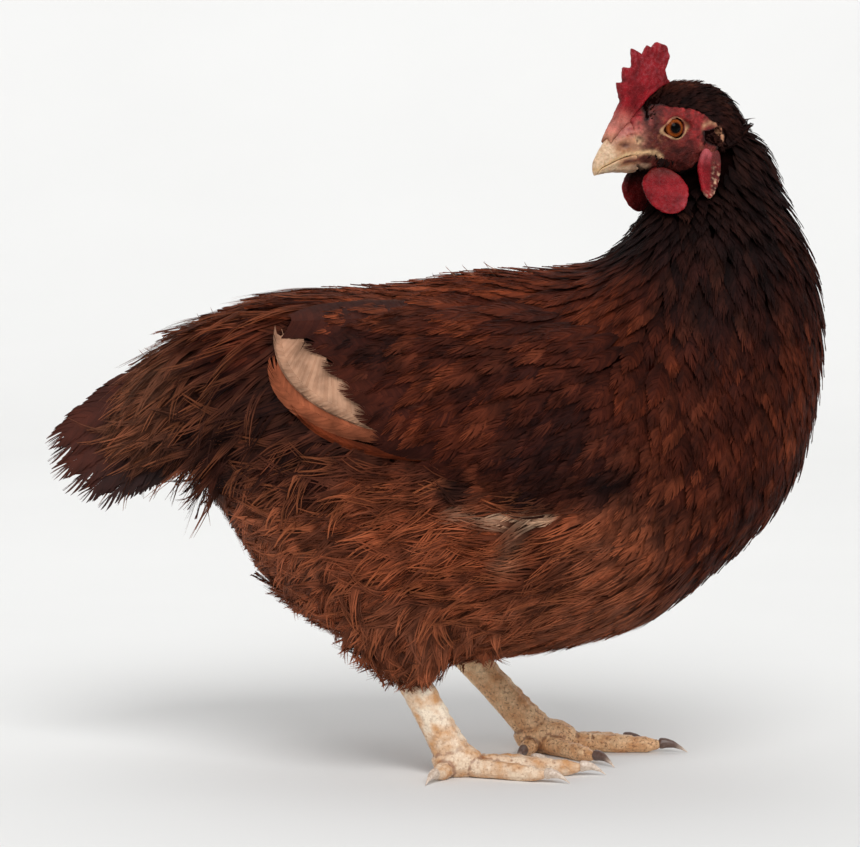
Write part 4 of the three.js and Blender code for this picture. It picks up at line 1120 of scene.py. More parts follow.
def vane_plan(barbs, loose, seed, point=0.35, square=0.0, sweep=0.3, serrate=0.14, fray=0.14,
              blunt=0.0, torn=0.0):
    """The plan of one feather: places along and across it, lift, strand number and faces."""
    rng = np.random.default_rng(seed)
    along, across, lift, strand, edge, faces = [], [], [], [], [], []
    for side in (-1, 1):
        for barb in range(barbs):
            share = (barb + 0.5 + rng.uniform(-0.3, 0.3)) / barbs
            start = 0.03 + 0.9 * share ** (1 + 0.15 * loose)
            run = (sweep + 0.22 * loose) * (1 - 0.45 * share) * rng.uniform(0.85, 1.15)
            end = min(start + run, 1.0 + 0.05 * loose * rng.random(), 1.0 - 0.015 * square)
            half = min(1.0, end / 0.45) * max(1 - max(end - 0.6, 0) / 0.4, 0) ** (0.5 + point)
            half = max(half, square * (end > 0.6) * 0.92)
            ragged = rng.uniform(1 - fray, 1 + fray / 3) \
                - torn * max(0, math.sin(9 + 21 * share) + 0.6 * math.sin(47 * share))
            reach = max(half * ragged, 0.03) * (1 + 0.12 * loose * rng.random())
            thick = (0.95 - 0.5 * loose) * 0.9 / barbs * rng.uniform(0.85, 1.15)
            first = len(along)
            bend = rng.uniform(-0.05, 0.05) * loose
            fly = rng.random() ** 2 * loose
            late = 1 - serrate - 0.14 * loose
            for level, width in ((0.0, 1.0), (0.4, 1.0), (late, 1.0 - 0.4 * loose), (1.0, blunt)):
                middle = start + (end - start) * (level ** 1.25) + bend * level
                out = reach * (1 - (1 - level) ** 1.5)
                for way in ((-1, 1) if width else (0,)):
                    along.append(middle + way * thick * width)
                    across.append(side * max(out - way * thick * width * 0.55, 0))
                    lift.append(0.10 * way + fly * level ** 2 * 1.3 + 0.12 * (barb % 2))
                    strand.append(rng.random() * 0.15 + (barb * 7 % 10) / 12)
                    edge.append(level)
            corners = [(0, 1, 3), (0, 3, 2), (2, 3, 5), (2, 5, 4), (4, 5, 6)]
            corners = corners[:4] + [(4, 5, 7), (4, 7, 6)] if blunt else corners
            for a, b, c in corners:
                faces.append((first + a, first + b, first + c) if side > 0
                             else (first + a, first + c, first + b))
    first = len(along)
    for level in range(5):
        for way in (-1, 0, 1):
            along.append(level / 4 * 0.97)
            across.append(way * 0.055 * (1 - level / 5))
            lift.append(0.12 + (0.34 if way == 0 else 0.0) * (1 - level / 5))
            strand.append(SHAFT_SHADE)
            edge.append(0.0)
    for level in range(4):
        for way in (0, 1):
            a = first + level * 3 + way
            faces += [(a, a + 1, a + 4), (a, a + 4, a + 3)]
    return plan_of(along, across, lift, strand, edge, faces)


def plan_of(along, across, lift, strand, edge, faces):
    """A plan as arrays with names."""
    plan = {"along": along, "across": across, "lift": lift, "strand": strand, "edge": edge}
    plan = {name: np.array(values, float) for name, values in plan.items()}
    plan["faces"] = np.array(faces)
    return plan


def wisp_plan(strands, seed):
    """The plan of one lock: long, thin, wavy barbs from a broad root, closing to a point."""
    rng = np.random.default_rng(seed)
    along, across, lift, strand, edge, faces = [], [], [], [], [], []
    for number in range(strands):
        aim = -0.8 + 1.6 * (number + rng.uniform(0.2, 0.8)) / strands
        wave, phase, reach = rng.uniform(0.06, 0.32), rng.uniform(0, 6), rng.uniform(0.7, 1.0)
        lofty, shade = rng.uniform(0, 0.7), rng.random()
        close, first = rng.uniform(0.5, 1.0), len(along)
        for level in range(7):
            share = level / 6
            out = aim * (1 - close * share ** 1.4) + wave * math.sin(phase + 4 * share) * share
            width = 0.105 * (1 - share ** 2 * 0.85) * min(1, 0.4 + 3 * share)
            for way in (-1, 1):
                along.append(share * reach)
                across.append(out + way * width)
                lift.append(0.3 + lofty * share)
                strand.append(shade)
                edge.append(share)
        for level in range(6):
            a = first + level * 2
            faces += [(a, a + 1, a + 3), (a, a + 3, a + 2)]
    return plan_of(along, across, lift, strand, edge, faces)


def plan_weights(along, across):
    """How each place on a plan follows the fifteen points of a laid net."""
    spot = np.clip(along, 0, 1) * (STATIONS - 1)
    knots = np.arange(STATIONS)
    lengthwise = np.empty((len(along), STATIONS))
    for knot in knots:
        others = knots[knots != knot]
        lengthwise[:, knot] = np.prod([(spot - o) / (knot - o) for o in others], 0)
    a = np.clip(across, -1.15, 1.15)
    sideways = np.stack([a * (a - 1) / 2, 1 - a * a, a * (a + 1) / 2], 1)
    return (lengthwise[:, :, None] * sideways[:, None, :]).reshape(len(along), -1)


def skin_map(points):
    """Where places lie on the skin's own unwrap: round the body and along it, 0 to 1."""
    spot = body_spot(points)
    flat = spot[:, [0, 2]]
    best, share, angle = np.full(len(spot), 1e9), np.zeros(len(spot)), np.zeros(len(spot))
    sizes = np.linalg.norm(np.diff(SPINE, axis=0), axis=1)
    for number, (a, b) in enumerate(zip(SPINE, SPINE[1:])):
        way = (b - a) / sizes[number]
        run = np.clip((flat - a) @ way, 0, sizes[number])
        off = flat - a - run[:, None] * way
        far = np.linalg.norm(off, axis=1)
        over = off @ np.array((-way[1], way[0]))
        here = far < best
        best = np.where(here, far, best)
        share = np.where(here, (sizes[:number].sum() + run) / sizes.sum(), share)
        angle = np.where(here, np.arctan2(spot[:, 1], over), angle)
    return np.stack([0.5 + angle / (2 * np.pi) * 0.97, 0.01 + 0.97 * share], 1)


TOSSES = 13                             # how many ways the strands of a loose feather fly
FLY = 0.0007                            # about how far they stand off at their ends, m
SMALL_FEATHER = 0.025                   # shorter ones are flatter in proportion, m
PATCH = 0.0014                          # of one feather on the coat's unwrap


def feathers(name, net, tilt, plans, chosen, lengths, rng, marks, sink, rise, finish_of, slot,
             wild=None, crown=0.6):
    """One coat piece from laid nets: every feather's barbs and shaft, with its marks."""
    points, faces, start, layers, maps = [], [], 0, {}, []
    root_map = skin_map(net[:, 0, 1])
    tones = rng.random(len(net))
    for number, plan in enumerate(plans):
        these = np.flatnonzero(chosen == number)
        if not len(these):
            continue
        count = len(plan["along"])
        weights = plan_weights(plan["along"], plan["across"])
        place = np.einsum("vk,nkc->nvc", weights, net[these].reshape(len(these), -1, 3))
        lean = unit(np.einsum("vk,nkc->nvc", weights, tilt[these].reshape(len(these), -1, 3)))
        along = plan["along"]
        height = -sink[these, None] * np.clip(1 - along, 0, 1) ** 1.4 + rise[these, None] * along
        small = 1.0 if lengths is None else np.minimum(lengths[these, None] / SMALL_FEATHER, 1.0)
        height = height + small * (
            plan["lift"] * 0.001 - crown * 0.001 * plan["across"] ** 2 * along)
        if wild is not None:
            strands = (plan["strand"] * 997).astype(int) % TOSSES
            toss = np.abs(rng.normal(0, 1, (len(these), TOSSES))[:, strands])
            height = height + small * toss * wild[these, None] * FLY * plan["edge"] * along
        place = place + lean * height[..., None]
        points.append(place.reshape(-1, 3))
        turns = start + np.arange(len(these))[:, None, None] * count
        faces.append((plan["faces"] + turns).reshape(-1, 3))
        start += len(these) * count
        for label, values in (
                ("along", np.broadcast_to(along, (len(these), count))),
                ("across", np.broadcast_to(plan["across"], (len(these), count))),
                ("strand", (plan["strand"] + tones[these, None] * 3.7) % 1.0),
                ("tone", np.broadcast_to(tones[these, None], (len(these), count)))):
            layers.setdefault(label, []).append(np.reshape(values, -1))
        where = np.clip(along, 0.25, 1) * (STATIONS - 1)
        low = np.minimum(where.astype(int), STATIONS - 2)
        rest = (where - low)[:, None]
        blend = marks[these][:, low] * (1 - rest) + marks[these][:, low + 1] * rest
        layers.setdefault("marks", []).append(blend.reshape(-1, 3))
        patch = np.stack([plan["across"], along - 0.5], 1) * PATCH
        maps.append((root_map[these, None] + patch).reshape(-1, 2))
    piece = mesh_piece(name, np.concatenate(points), np.concatenate(faces))
    for label, values in layers.items():
        mark_points(piece, label, np.concatenate(values))
    corners = np.empty(len(piece.data.loops), int)
    piece.data.loops.foreach_get("vertex_index", corners)
    layer = piece.data.uv_layers.new(name="OFBake")
    layer.data.foreach_set("uv", np.concatenate(maps)[corners].reshape(-1))
    piece.data.materials.append(finish_of)
    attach(piece, "root")
    return piece


def plumage(name, shine=0.06, rough=0.65, root=0.42, rim=0.0, strands=0.6, light=1.0, ends=0.0):
    """Feather finish: dyes by the marks, fine barb lines, strands and ends of other shades, with
    painted shade towards each feather's root.
    """
    material, tree, shader = finish(name, Roughness=rough, Specular_IOR_Level=shine)
    along, across = reading(tree, "along"), sum_up(tree, "ABSOLUTE", reading(tree, "across"))
    tone = reading(tree, "tone")
    strand = spread(tree, reading(tree, "strand"), 0, 1, 0.5 - strands / 2, 0.5 + strands / 2)
    cloud = grain(tree, 60.0, 3.0).outputs["Fac"]
    lift = sum_up(tree, "MULTIPLY_ADD", cloud, 0.55, sum_up(tree, "MULTIPLY", tone, 0.5))
    # Less russet towards the root and more at the tip, as part of the painted shade at the root.
    lift = sum_up(tree, "MULTIPLY", lift, spread(tree, along, 0.2, 0.95, 0.5, 1.15))
    dyed = use(tree, coat_dye, Marks=reading(tree, "marks", "Vector"), Lift=lift, Streak=strand)
    # Painted shade: darker towards each feather's root, as dark as root sets, where the feathers
    # over it cover it; the edges are darker than the middle.
    shade = sum_up(tree, "MULTIPLY", spread(tree, along, 0.0, 0.6, root, 1.0), spread(
        tree, across, 0.2, 1.0, 1.08, 0.8))
    shade = sum_up(tree, "MULTIPLY", shade, spread(
        tree, tone, 0.0, 1.0, 1 - 0.38 * strands, 1 + 0.34 * strands))
    dapple = grain(tree, 85.0, 4.0).outputs["Fac"]
    shade = sum_up(tree, "MULTIPLY", shade, spread(
        tree, dapple, 0.34, 0.66, 1 - 0.42 * light, 1 + 0.4 * light))
    tint = mix(tree, 1.0, dyed.outputs["Color"], grey(tree, shade), "MULTIPLY")
    tint = mix(tree, sum_up(tree, "MULTIPLY", spread(tree, across, 0.86, 1.0), rim), tint,
               rgb(150, 100, 76))
    worn = sum_up(tree, "MULTIPLY", spread(tree, along, 0.45, 1.0), spread(
        tree, tone, 0.35, 1.0, 0.0, ends))
    tint = mix(tree, worn, tint, rgb(160, 94, 60))
    tree.links.new(tint, shader.inputs["Base Color"])
    barb = sum_up(tree, "SUBTRACT", along, sum_up(tree, "MULTIPLY", across, 0.35))
    line = sum_up(tree, "SINE", sum_up(tree, "MULTIPLY", barb, 240.0))
    relief(tree, shader, line, 0.15, 0.0002)
    return material


CLUMP_DYE = (-0.55, 0.4, 0.05)          # how marks swing from a dark clump to a light one
CURL = 0.34                             # how fast the loosest contour feathers turn


def grow(form, lie, rows, rng, keep, plans_of, finish_of, slot_of, label, sink,
         cling_of, swing=(0.10, 0.22), tries=70000, rise=0.0002, gap=1.0, size=(1.0, 1.0),
         dye=(0, 0, 0), curl=CURL):
    """Scatters, lays and makes the feathers of a form, one piece for each tract of its table."""
    roots = scatter(form, rng, lambda points: lie(points)[0][:, 5] * 0.001 * gap, keep, tries)
    values, nearest_row = lie(roots)
    tracts = np.array([rows[row][0] for row in nearest_row])
    loose = np.clip(values[:, 6] + rng.normal(0, 0.06, len(roots)), 0, 1)
    lengths = values[:, 3] * 0.001 * size[0] * rng.uniform(0.85, 1.15, len(roots))
    halves = values[:, 4] * 0.0005 * size[1] * rng.uniform(0.9, 1.15, len(roots))
    leans = nearest(form, roots)[1]
    turn = rng.normal(0, swing[0] + swing[1] * loose) + 0.55 * loose * ripple(roots, 24, 3.0)
    headings = values[:, :3] + np.cross(leans, values[:, :3]) * turn[:, None]
    hold = 1 - np.array([cling_of(tract) for tract in tracts]) * loose
    curls = curl * np.maximum(loose - 0.35, 0) * (
        rng.normal(0, 0.7, len(roots)) + 1.6 * ripple(roots, 16, 8.0))
    net, tilt = lay(form, lie, roots, headings, lengths, halves, hold, curls)
    clump = ripple(roots, 11, 6.0) * np.clip(loose + 0.15, 0.2, 0.8)
    marks = coat_marks_and_painted_light(net[:, :, 1]) + dye + clump[:, None, None] * np.array(CLUMP_DYE)
    marks = np.clip(marks, 0, 1)
    clear = press_in(net) & (clear_of_vanes(net) | (form is wing_form))
    for tract in dict.fromkeys(row[0] for row in rows):
        these = (tracts == tract) & clear
        if not these.any():
            continue
        plans = plans_of(tract)
        steps = np.linspace(0.15, 0.9, len(plans) + 1)[1:-1]
        chosen = np.searchsorted(steps, loose[these])
        feathers(tract + label, net[these], tilt[these], plans, chosen, lengths[these], rng,
                 marks[these], np.full(these.sum(), sink),
                 rise + 0.001 * loose[these] * rng.random(these.sum()),
                 finish_of, slot_of(tract), wild=loose[these])


# Where the folded long vanes of the wing lie bare, seen from the side: x and z, mm.
VANE_FIELD = np.array([
    (-79, 257), (-79, 236), (-78, 216), (-73, 203), (-53, 186), (-35, 178), (-18, 173),
    (8, 167), (10, 190), (-18, 205), (-22, 225), (-14, 256)], float)
VANES_OUT = 38                          # nearer the bird's middle there are no bare vanes, mm


def clear_of_vanes(net):
    """Whether a laid feather ends outside the field of the wing's bare vanes."""
    spots = body_spot(net[:, 1:, 1])
    x, z = spots[..., 0], spots[..., 2]
    inside = np.zeros(x.shape, bool)
    for (ax, az), (bx, bz) in zip(VANE_FIELD, np.roll(VANE_FIELD, -1, axis=0)):
        crosses = (az > z) != (bz > z)
        inside ^= crosses & (x < (bx - ax) * (z - az) / (bz - az) + ax)
    return ~(inside & (np.abs(spots[..., 1]) > VANES_OUT)).any(1)


FOLD_PRESS = 0.0032                     # how far behind a fold's face the feathers lie, m
FOLD_REACH = 0.014                      # how far in from a feather a fold is looked for, m
DEEPEST_PRESS = 0.012                   # a feather pressed further is left out, m
COMB_GAP = 0.0002                       # that a feather keeps from the comb, m
HEAD_REACH = 70                         # farther from the head no feather nears a fold, mm
RAY_START = 0.0006                      # how far outside a feather its ray starts, m
PRESS_SPREAD = 0.4                      # of a station's press, that its neighbours share


def press_in(net):
    """Presses laid feathers in behind wattles and lobes; tells which stay out of the comb."""
    near = (np.linalg.norm(head_local(net[:, 2, 1]), axis=1) < HEAD_REACH).nonzero()[0]
    clear = np.ones(len(net), bool)
    for number in near:
        sides = np.sign(head_local(net[number, :, 1])[:, 1])
        depth = np.zeros(STATIONS)
        for station in range(STATIONS):
            inward = -head_axes[1] * sides[station]
            for place in net[number, station] - inward * RAY_START:
                hit = fold_tree.ray_cast(Vector(place), Vector(inward), FOLD_REACH)
                if hit[0] and head_local(np.array([hit[0]]))[0, 1] * sides[station] > 0:
                    depth[station] = max(depth[station], hit[3] + FOLD_PRESS)
            if comb_tree.find_nearest(Vector(net[number, station, 1]), COMB_GAP)[0]:
                clear[number] = False
        depth[1:] = np.maximum(depth[1:], depth[:-1] * PRESS_SPREAD)
        depth[:-1] = np.maximum(depth[:-1], depth[1:] * PRESS_SPREAD)
        net[number] -= (depth * sides)[:, None, None] * head_axes[1]
        clear[number] &= depth.max() < DEEPEST_PRESS
    return clear


coat_finish = plumage("plumage")
wisp_finish = plumage("loose plumage", root=0.4, strands=0.7, ends=0.6)
body_plans = [vane_plan(17, 0.12, 1, serrate=0.08), vane_plan(17, 0.25, 2, serrate=0.1),
              vane_plan(15, 0.5, 3, 0.5), vane_plan(14, 0.7, 4, 0.6), vane_plan(12, 0.95, 5, 0.7)]
hackle_plans = [vane_plan(13, 0.1, 11, 0.9), vane_plan(13, 0.2, 12, 0.9),
                vane_plan(12, 0.35, 13, 1.0)]
wisp_plans = [wisp_plan(6, 15), wisp_plan(7, 16), wisp_plan(8, 17)]
DARK_TRACTS = ("hackle", "crown", "nape", "cheek", "throat")
WISPY_TRACTS = ("saddle", "belly", "flank", "rump", "thigh")
WING_COVER = 0.006                      # feathers deeper than this below the wing stay off, m
SKULL_MIDDLE, SKULL_REACH = (4, 0, 2), 32   # the part of the head with feathers of its own, mm
SKULL_REAR, SKULL_LOW = -15, -23        # and where that part ends behind and below
STUMP_END = -140                        # the end of the stump behind this is the vanes', mm
UNDER_TAIL = (-104, 172)                # smooth behind and below this place, x and z, mm
WISP_FROM = 0.42                        # the looseness of the coat from which wisps stand out


def grows_here(points):
    """Where body feathers grow: not on the bare head, nor far in under a folded wing."""
    place, lean = nearest(wing_form, points)
    covered = ((points - place) * lean).sum(1) < -WING_COVER
    local = head_local(points)
    skull = (np.linalg.norm(local - SKULL_MIDDLE, axis=1) < SKULL_REACH) \
        & (local[:, 0] > SKULL_REAR) & (local[:, 2] > SKULL_LOW)
    stump_end = (lean[:, 0] < -0.6) & (body_spot(points)[:, 0] < STUMP_END)
    return ~skull & ~covered & ~stump_end


def slot_of(tract):
    """A slot name by tract, dark for the hackle and the head's tracts."""
    return "plumage_dark" if tract in DARK_TRACTS else "plumage"


def wisps_here(points):
    """Where the coat is loose enough for wisps to stand out of it."""
    values, rows = coat_lie(points)
    wispy = np.array([COAT_LIE[row][0] in WISPY_TRACTS for row in rows])
    spots = body_spot(points)
    under_tail = (spots[:, 0] < UNDER_TAIL[0]) & (spots[:, 2] < UNDER_TAIL[1])
    return grows_here(points) & wispy & ~under_tail & (values[:, 6] > WISP_FROM) \
        & (ripple(points, 9, 6.0) > -0.12)


# How much the loosest feathers of a tract leave the form and stream on straight.
STREAMING = {"saddle": 1.15, "breast": 2.0, "rump": 0.45, "thigh": 0.8, "belly": 0.8}


def coat_cling(tract):
    """The streaming of a tract of the body."""
    return STREAMING.get(tract, 0.55)


grow(body_form, coat_lie, COAT_LIE, np.random.default_rng(41), grows_here,
     lambda tract: hackle_plans if tract == "hackle" else body_plans, coat_finish, slot_of,
     "_feathers", ROOT_SINK, coat_cling)
grow(body_form, coat_lie, COAT_LIE, np.random.default_rng(43), wisps_here,
     lambda tract: wisp_plans, wisp_finish, slot_of, "_wisps", WISP_SINK, coat_cling,
     swing=(0.16, 0.3), rise=0.0008, gap=0.8, size=(1.15, 1.0), dye=(-0.14, 0.04, 0.02), curl=0.58)


# Stray quills: a few worn feathers that have turned up out of the back's line, each a pale
# bare shaft with a few barbs, rooted among the others.
# Where each comes out (x and z), how long it is (all mm), and how steeply it turns up.
STRAY_QUILLS = [
    (19, 262, 10, 0.4), (30, 262, 12, 0.4), (38, 264, 8, 0.6), (46, 264, 17, 0.25),
    (58, 265, 7, 0.5), (-38, 252, 12, 0.3), (-110, 238, 7, 0.7), (-116, 235, 8, 0.6),
    (-144, 216, 11, 0.4), (8, 258, 6, 0.7),
]
QUILL_EDGES = np.array([(0.6, -1.6, -0.8), (0, 0, 0), (-0.6, 1.6, 0.8)])    # mm
QUILL_LEAN = np.array((0.3, -0.5, 0.8))
QUILL_DYE = (0.0, 0.6, 0.35)
quill_nets = []
for number, (ahead, high, long, kick) in enumerate(STRAY_QUILLS):
    shares = np.linspace(0, 1, STATIONS)
    line = np.stack([ahead - long * shares, -6.0 - 2 * (number % 3) + 0 * shares,
                     high - 4 + long * kick * shares ** 1.6 + 4 * shares], 1)
    quill_nets.append(at(line[:, None] + QUILL_EDGES))
flat = np.zeros(len(quill_nets))
feathers(
    "stray_quills", np.array(quill_nets),
    np.tile(unit(QUILL_LEAN), (len(quill_nets), STATIONS, 3, 1)), [vane_plan(9, 0.9, 81, 1.0)],
    flat.astype(int), None, np.random.default_rng(82),
    np.tile(QUILL_DYE, (len(quill_nets), STATIONS, 1)), flat, flat, wisp_finish, "plumage")


# Wings: folded, with soft coverts in rows over the arm and hand, and below their edge the
# long vanes: two worn orange-brown primaries, a broad bleached one, the dark secondaries
# that end over it, and a square dark tertial. Each vane is rooted under the coverts.
WING_LIE = [
    ("shoulder", 138, 80, 203, -0.45, 0.0, -0.9, 26, 12, 5.6, 0.2),
    ("shoulder", 128, 90, 236, -0.45, 0.0, -0.9, 28, 12, 5.8, 0.2),
    ("coverts", 105, 100, 205, -0.66, 0.0, -0.75, 32, 13, 5.8, 0.3),
    ("coverts", 110, 95, 170, -0.85, 0.0, -0.5, 28, 12, 5.4, 0.25),
    ("scapulars", 85, 85, 250, -0.72, 0.0, -0.7, 36, 13, 6.2, 0.35),
    ("scapulars", 40, 85, 252, -0.78, 0.0, -0.62, 40, 13, 6.2, 0.4),
    ("coverts", 60, 100, 210, -0.74, 0.0, -0.66, 36, 13, 6.0, 0.4),
    ("coverts", 60, 98, 172, -0.88, 0.0, -0.42, 32, 12, 5.6, 0.3),
    ("coverts", 15, 95, 218, -0.78, 0.0, -0.6, 38, 13, 6.0, 0.4),
    ("coverts", 10, 92, 188, -0.84, 0.0, -0.5, 34, 12, 5.6, 0.35),
    ("coverts", -30, 85, 215, -0.78, 0.0, -0.6, 30, 12, 5.6, 0.35),
    ("scapulars", -20, 80, 256, -0.9, 0.0, -0.35, 32, 12, 6.0, 0.4),
]
# The line where the coverts end over the vanes, seen from the side: x and z, mm.
COVERT_END = [
    (25, 150), (18, 167), (-8, 180), (-20, 190), (-33, 208), (-40, 218), (-47, 223),
    (-53, 235), (-32, 238), (-30, 254), (-46, 259), (-66, 270),
]
COVERT_SINK, COVERT_RISE = 0.0035, 0.0014   # of the roots below the wing, and the ends over it, m
WING_PROUD = 0.0018                     # the wing is where its form stands out by this, m
wing_lie = guide(WING_LIE)


def coverts_here(points):
    """Where wing coverts grow: on the folded wing, so that they end short of the vanes."""
    place, lean = nearest(body_form, points)
    out = ((points - place) * lean).sum(1)
    values = wing_lie(points)[0]
    tip = body_spot(points) + values[:, :3] * values[:, 3:4]
    end_x, end_z = zip(*COVERT_END)
    return (out > WING_PROUD) & (tip[:, 0] > np.interp(tip[:, 2], end_z, end_x))


grow(wing_form, wing_lie, WING_LIE, np.random.default_rng(57), coverts_here,
     lambda tract: body_plans, coat_finish, slot_of, "_wing_feathers", COVERT_SINK,
     lambda tract: 0.9, rise=COVERT_RISE)

# A vane of the wing: root, middle and tip of its shaft seen from the side (x, z, mm), widths
# of the web above and below the shaft, rise of the tip (mm), plan, and its dark, russet, buff.
WING_VANES = [
    ((60, 173), (-40, 168), (-62, 198), 2.6, 2.4, 0.0, "vane", (0.25, 0.95, 0.0)),
    ((60, 181), (-70, 181), (-74, 222), 9.0, 7.0, 0.5, "vane", (0.05, 0.95, 0.1)),
    ((60, 184), (-69, 187), (-71, 238), 18.0, 5.0, 1.2, "broad", (0.02, 0.42, 0.6)),
    ((80, 180), (40, 168), (4, 168), 7.5, 7.5, 1.0, "vane", (0.76, 0.26, 0.0)),
    ((66, 188), (6, 176), (-18, 184), 8.5, 8.5, 1.2, "vane", (0.76, 0.26, 0.0)),
    ((60, 198), (4, 186), (-27, 197), 8.5, 8.5, 1.4, "vane", (0.76, 0.26, 0.0)),
    ((56, 209), (-4, 199), (-36, 209), 8.5, 8.5, 1.7, "vane", (0.76, 0.26, 0.0)),
    ((50, 220), (-12, 212), (-46, 220), 8.5, 8.5, 1.7, "vane", (0.76, 0.26, 0.0)),
    ((44, 232), (-20, 227), (-58, 229), 8.5, 8.0, 1.8, "vane", (0.76, 0.26, 0.0)),
    ((40, 244), (-20, 243), (-73, 238), 8.5, 9.0, 1.9, "square", (0.76, 0.26, 0.0)),
]
WEB_SINK = 0.003                        # of a vane's root below the coverts, m
BUFF_WEAR = (1.0, 1.0, 1.0, 1.05, 0.8)  # of the pale dye along a vane
WING_BESIDE = 130                       # where the rays towards a wing start, mm
MIDLINE, WING_INSIDE = 0.025, 0.045     # too near the bird's middle, and surely in a wing, m
vane_plans = {
    "vane": vane_plan(60, 0.03, 21, point=-0.1, sweep=0.16, serrate=0.015, fray=0.02, blunt=0.5),
    "broad": vane_plan(90, 0.02, 22, point=-0.3, square=0.1, sweep=0.12, serrate=0.02, fray=0.02,
                       blunt=0.95, torn=0.06),
    "square": vane_plan(60, 0.02, 23, point=-0.2, square=1.0, sweep=0.08, serrate=0.03, fray=0.03,
                        blunt=0.6)}


def bent(points, share):
    """A place on the bent line through a root, a middle handle and a tip."""
    a, b, c = np.array(points, float)
    return a * (1 - share) ** 2 + 2 * b * share * (1 - share) + c * share ** 2


def along_shaft(side, line):
    """The stations of a vane's shaft seen from the side, and the way across each."""
    for share in np.linspace(0, 1, STATIONS):
        way = bent(line, min(share + 0.05, 1)) - bent(line, max(share - 0.05, 0))
        yield bent(line, share), np.array((-way[1], way[0])) / np.linalg.norm(way) * -side


def side_net(side, line, webs):
    """A net for a vane that lies on the side of the wing, with its two webs' widths."""
    net = []
    for spot, over in along_shaft(side, line):
        row = []
        for edge in (-1, 0, 1):
            web = webs[0] if edge * over[1] > 0 else webs[1]
            x, z = spot + over * web * edge
            row.append((x, side * WING_BESIDE, z))
        net.append(row)
    places, leans = [], []
    for start in at(net).reshape(-1, 3):
        hit = wing_form["tree"].ray_cast(Vector(start), Vector((0, -side, 0)))
        if hit[0] is None or abs(hit[0].y) < MIDLINE:
            hit = wing_form["tree"].find_nearest(Vector((start[0], side * WING_INSIDE, start[2])))
        places.append(hit[0][:])
        leans.append(hit[1][:])
    shape = (STATIONS, 3, 3)
    lean = np.array(leans).reshape(shape) * 0.3 + np.array((0, side * 0.7, 0.05))
    return np.array(places).reshape(shape), unit(lean)


vane_finish = plumage("wing vanes", rough=0.6, root=0.85, rim=0.1, strands=0.4, light=0.8)
vane_wear = np.stack([np.ones(STATIONS), np.ones(STATIONS), BUFF_WEAR], 1)
for side, label in ((-1, "right"), (1, "left")):
    nets, tilts = zip(*[side_net(side, row[:3], row[3:5]) for row in WING_VANES])
    rises, kinds, dyes = zip(*[row[5:] for row in WING_VANES])
    feathers(
        f"wing_vanes_{label}", np.array(nets), np.array(tilts), list(vane_plans.values()),
        np.array([list(vane_plans).index(kind) for kind in kinds]), None,
        np.random.default_rng(61), np.array(dyes)[:, None] * vane_wear,
        np.full(len(WING_VANES), WEB_SINK), np.array(rises) * 0.001, vane_finish, "plumage",
        crown=0.5)


# Tail: seven pairs of stiff vanes fanned on a steep roof, blackish brown, their ends frayed
# by wear. They are rooted in the stump, below the long coverts of the saddle.
# Each vane's root, middle and tip seen from the side (x, z), and half its width, mm.
TAIL_VANES = [
    ((-95, 222), (-150, 214), (-207, 167), 11), ((-95, 216), (-148, 205), (-206, 160), 11),
    ((-95, 210), (-146, 196), (-203, 152), 11), ((-95, 203), (-146, 186), (-196, 146), 11),
    ((-96, 196), (-146, 178), (-186, 142), 11), ((-98, 190), (-144, 172), (-175, 139), 10.5),
    ((-100, 184), (-138, 168), (-158, 148), 10),
]
ROOF_SLOPE = 0.42                       # outward for each mm down from the ridge
RIDGE_TOP, RIDGE_START, RIDGE_BEND = 222, -95, -120     # height, and where it starts and bends, mm
RIDGE_GAP = 0.2                         # between the two sides at the ridge and the middle, mm
VANE_STEP = 0.0009                      # how far each vane lies below the one above it, m
tail_plans = [
    vane_plan(56, 0.08, 31, point=-0.2, sweep=0.15, serrate=0.05, fray=0.2, blunt=0.5),
    vane_plan(56, 0.14, 32, point=-0.2, sweep=0.16, serrate=0.08, fray=0.26, blunt=0.45)]


def roof_net(side, line, half):
    """A net for a tail vane, on its side of the roof and under the vanes above it."""
    net = []
    for spot, over in along_shaft(side, line):
        row = []
        for edge in (-1, 0, 1):
            x, z = spot + over * half * edge * 0.92
            ridge = RIDGE_TOP - 0.06 * (RIDGE_START - x) - 0.0053 * max(RIDGE_BEND - x, 0) ** 2
            row.append((x, side * (RIDGE_GAP + ROOF_SLOPE * max(ridge - z, 0)), z))
        net.append(row)
    lean = np.array((0, side, ROOF_SLOPE)) / math.hypot(1, ROOF_SLOPE)
    return at(net), np.broadcast_to(lean, (STATIONS, 3, 3)).copy()


tail_finish = plumage("tail vanes", shine=0.2, rough=0.5, root=0.8, rim=0.1, strands=0.3,
                      light=0.6)
ranks = np.arange(len(TAIL_VANES))
tail_dyes = np.stack([0.55 + 0.06 * ranks, 0.4 - 0.04 * ranks, 0 * ranks], 1)
for side, label in ((-1, "right"), (1, "left")):
    nets, tilts = zip(*[roof_net(side, row[:3], row[3]) for row in TAIL_VANES])
    feathers(
        f"tail_vanes_{label}", np.array(nets), np.array(tilts), tail_plans, ranks % 2, None,
        np.random.default_rng(71), np.repeat(tail_dyes[:, None], STATIONS, 1),
        np.zeros(len(ranks)), -VANE_STEP * ranks, tail_finish, "plumage_dark",
        wild=np.full(len(ranks), 0.25), crown=0.5)


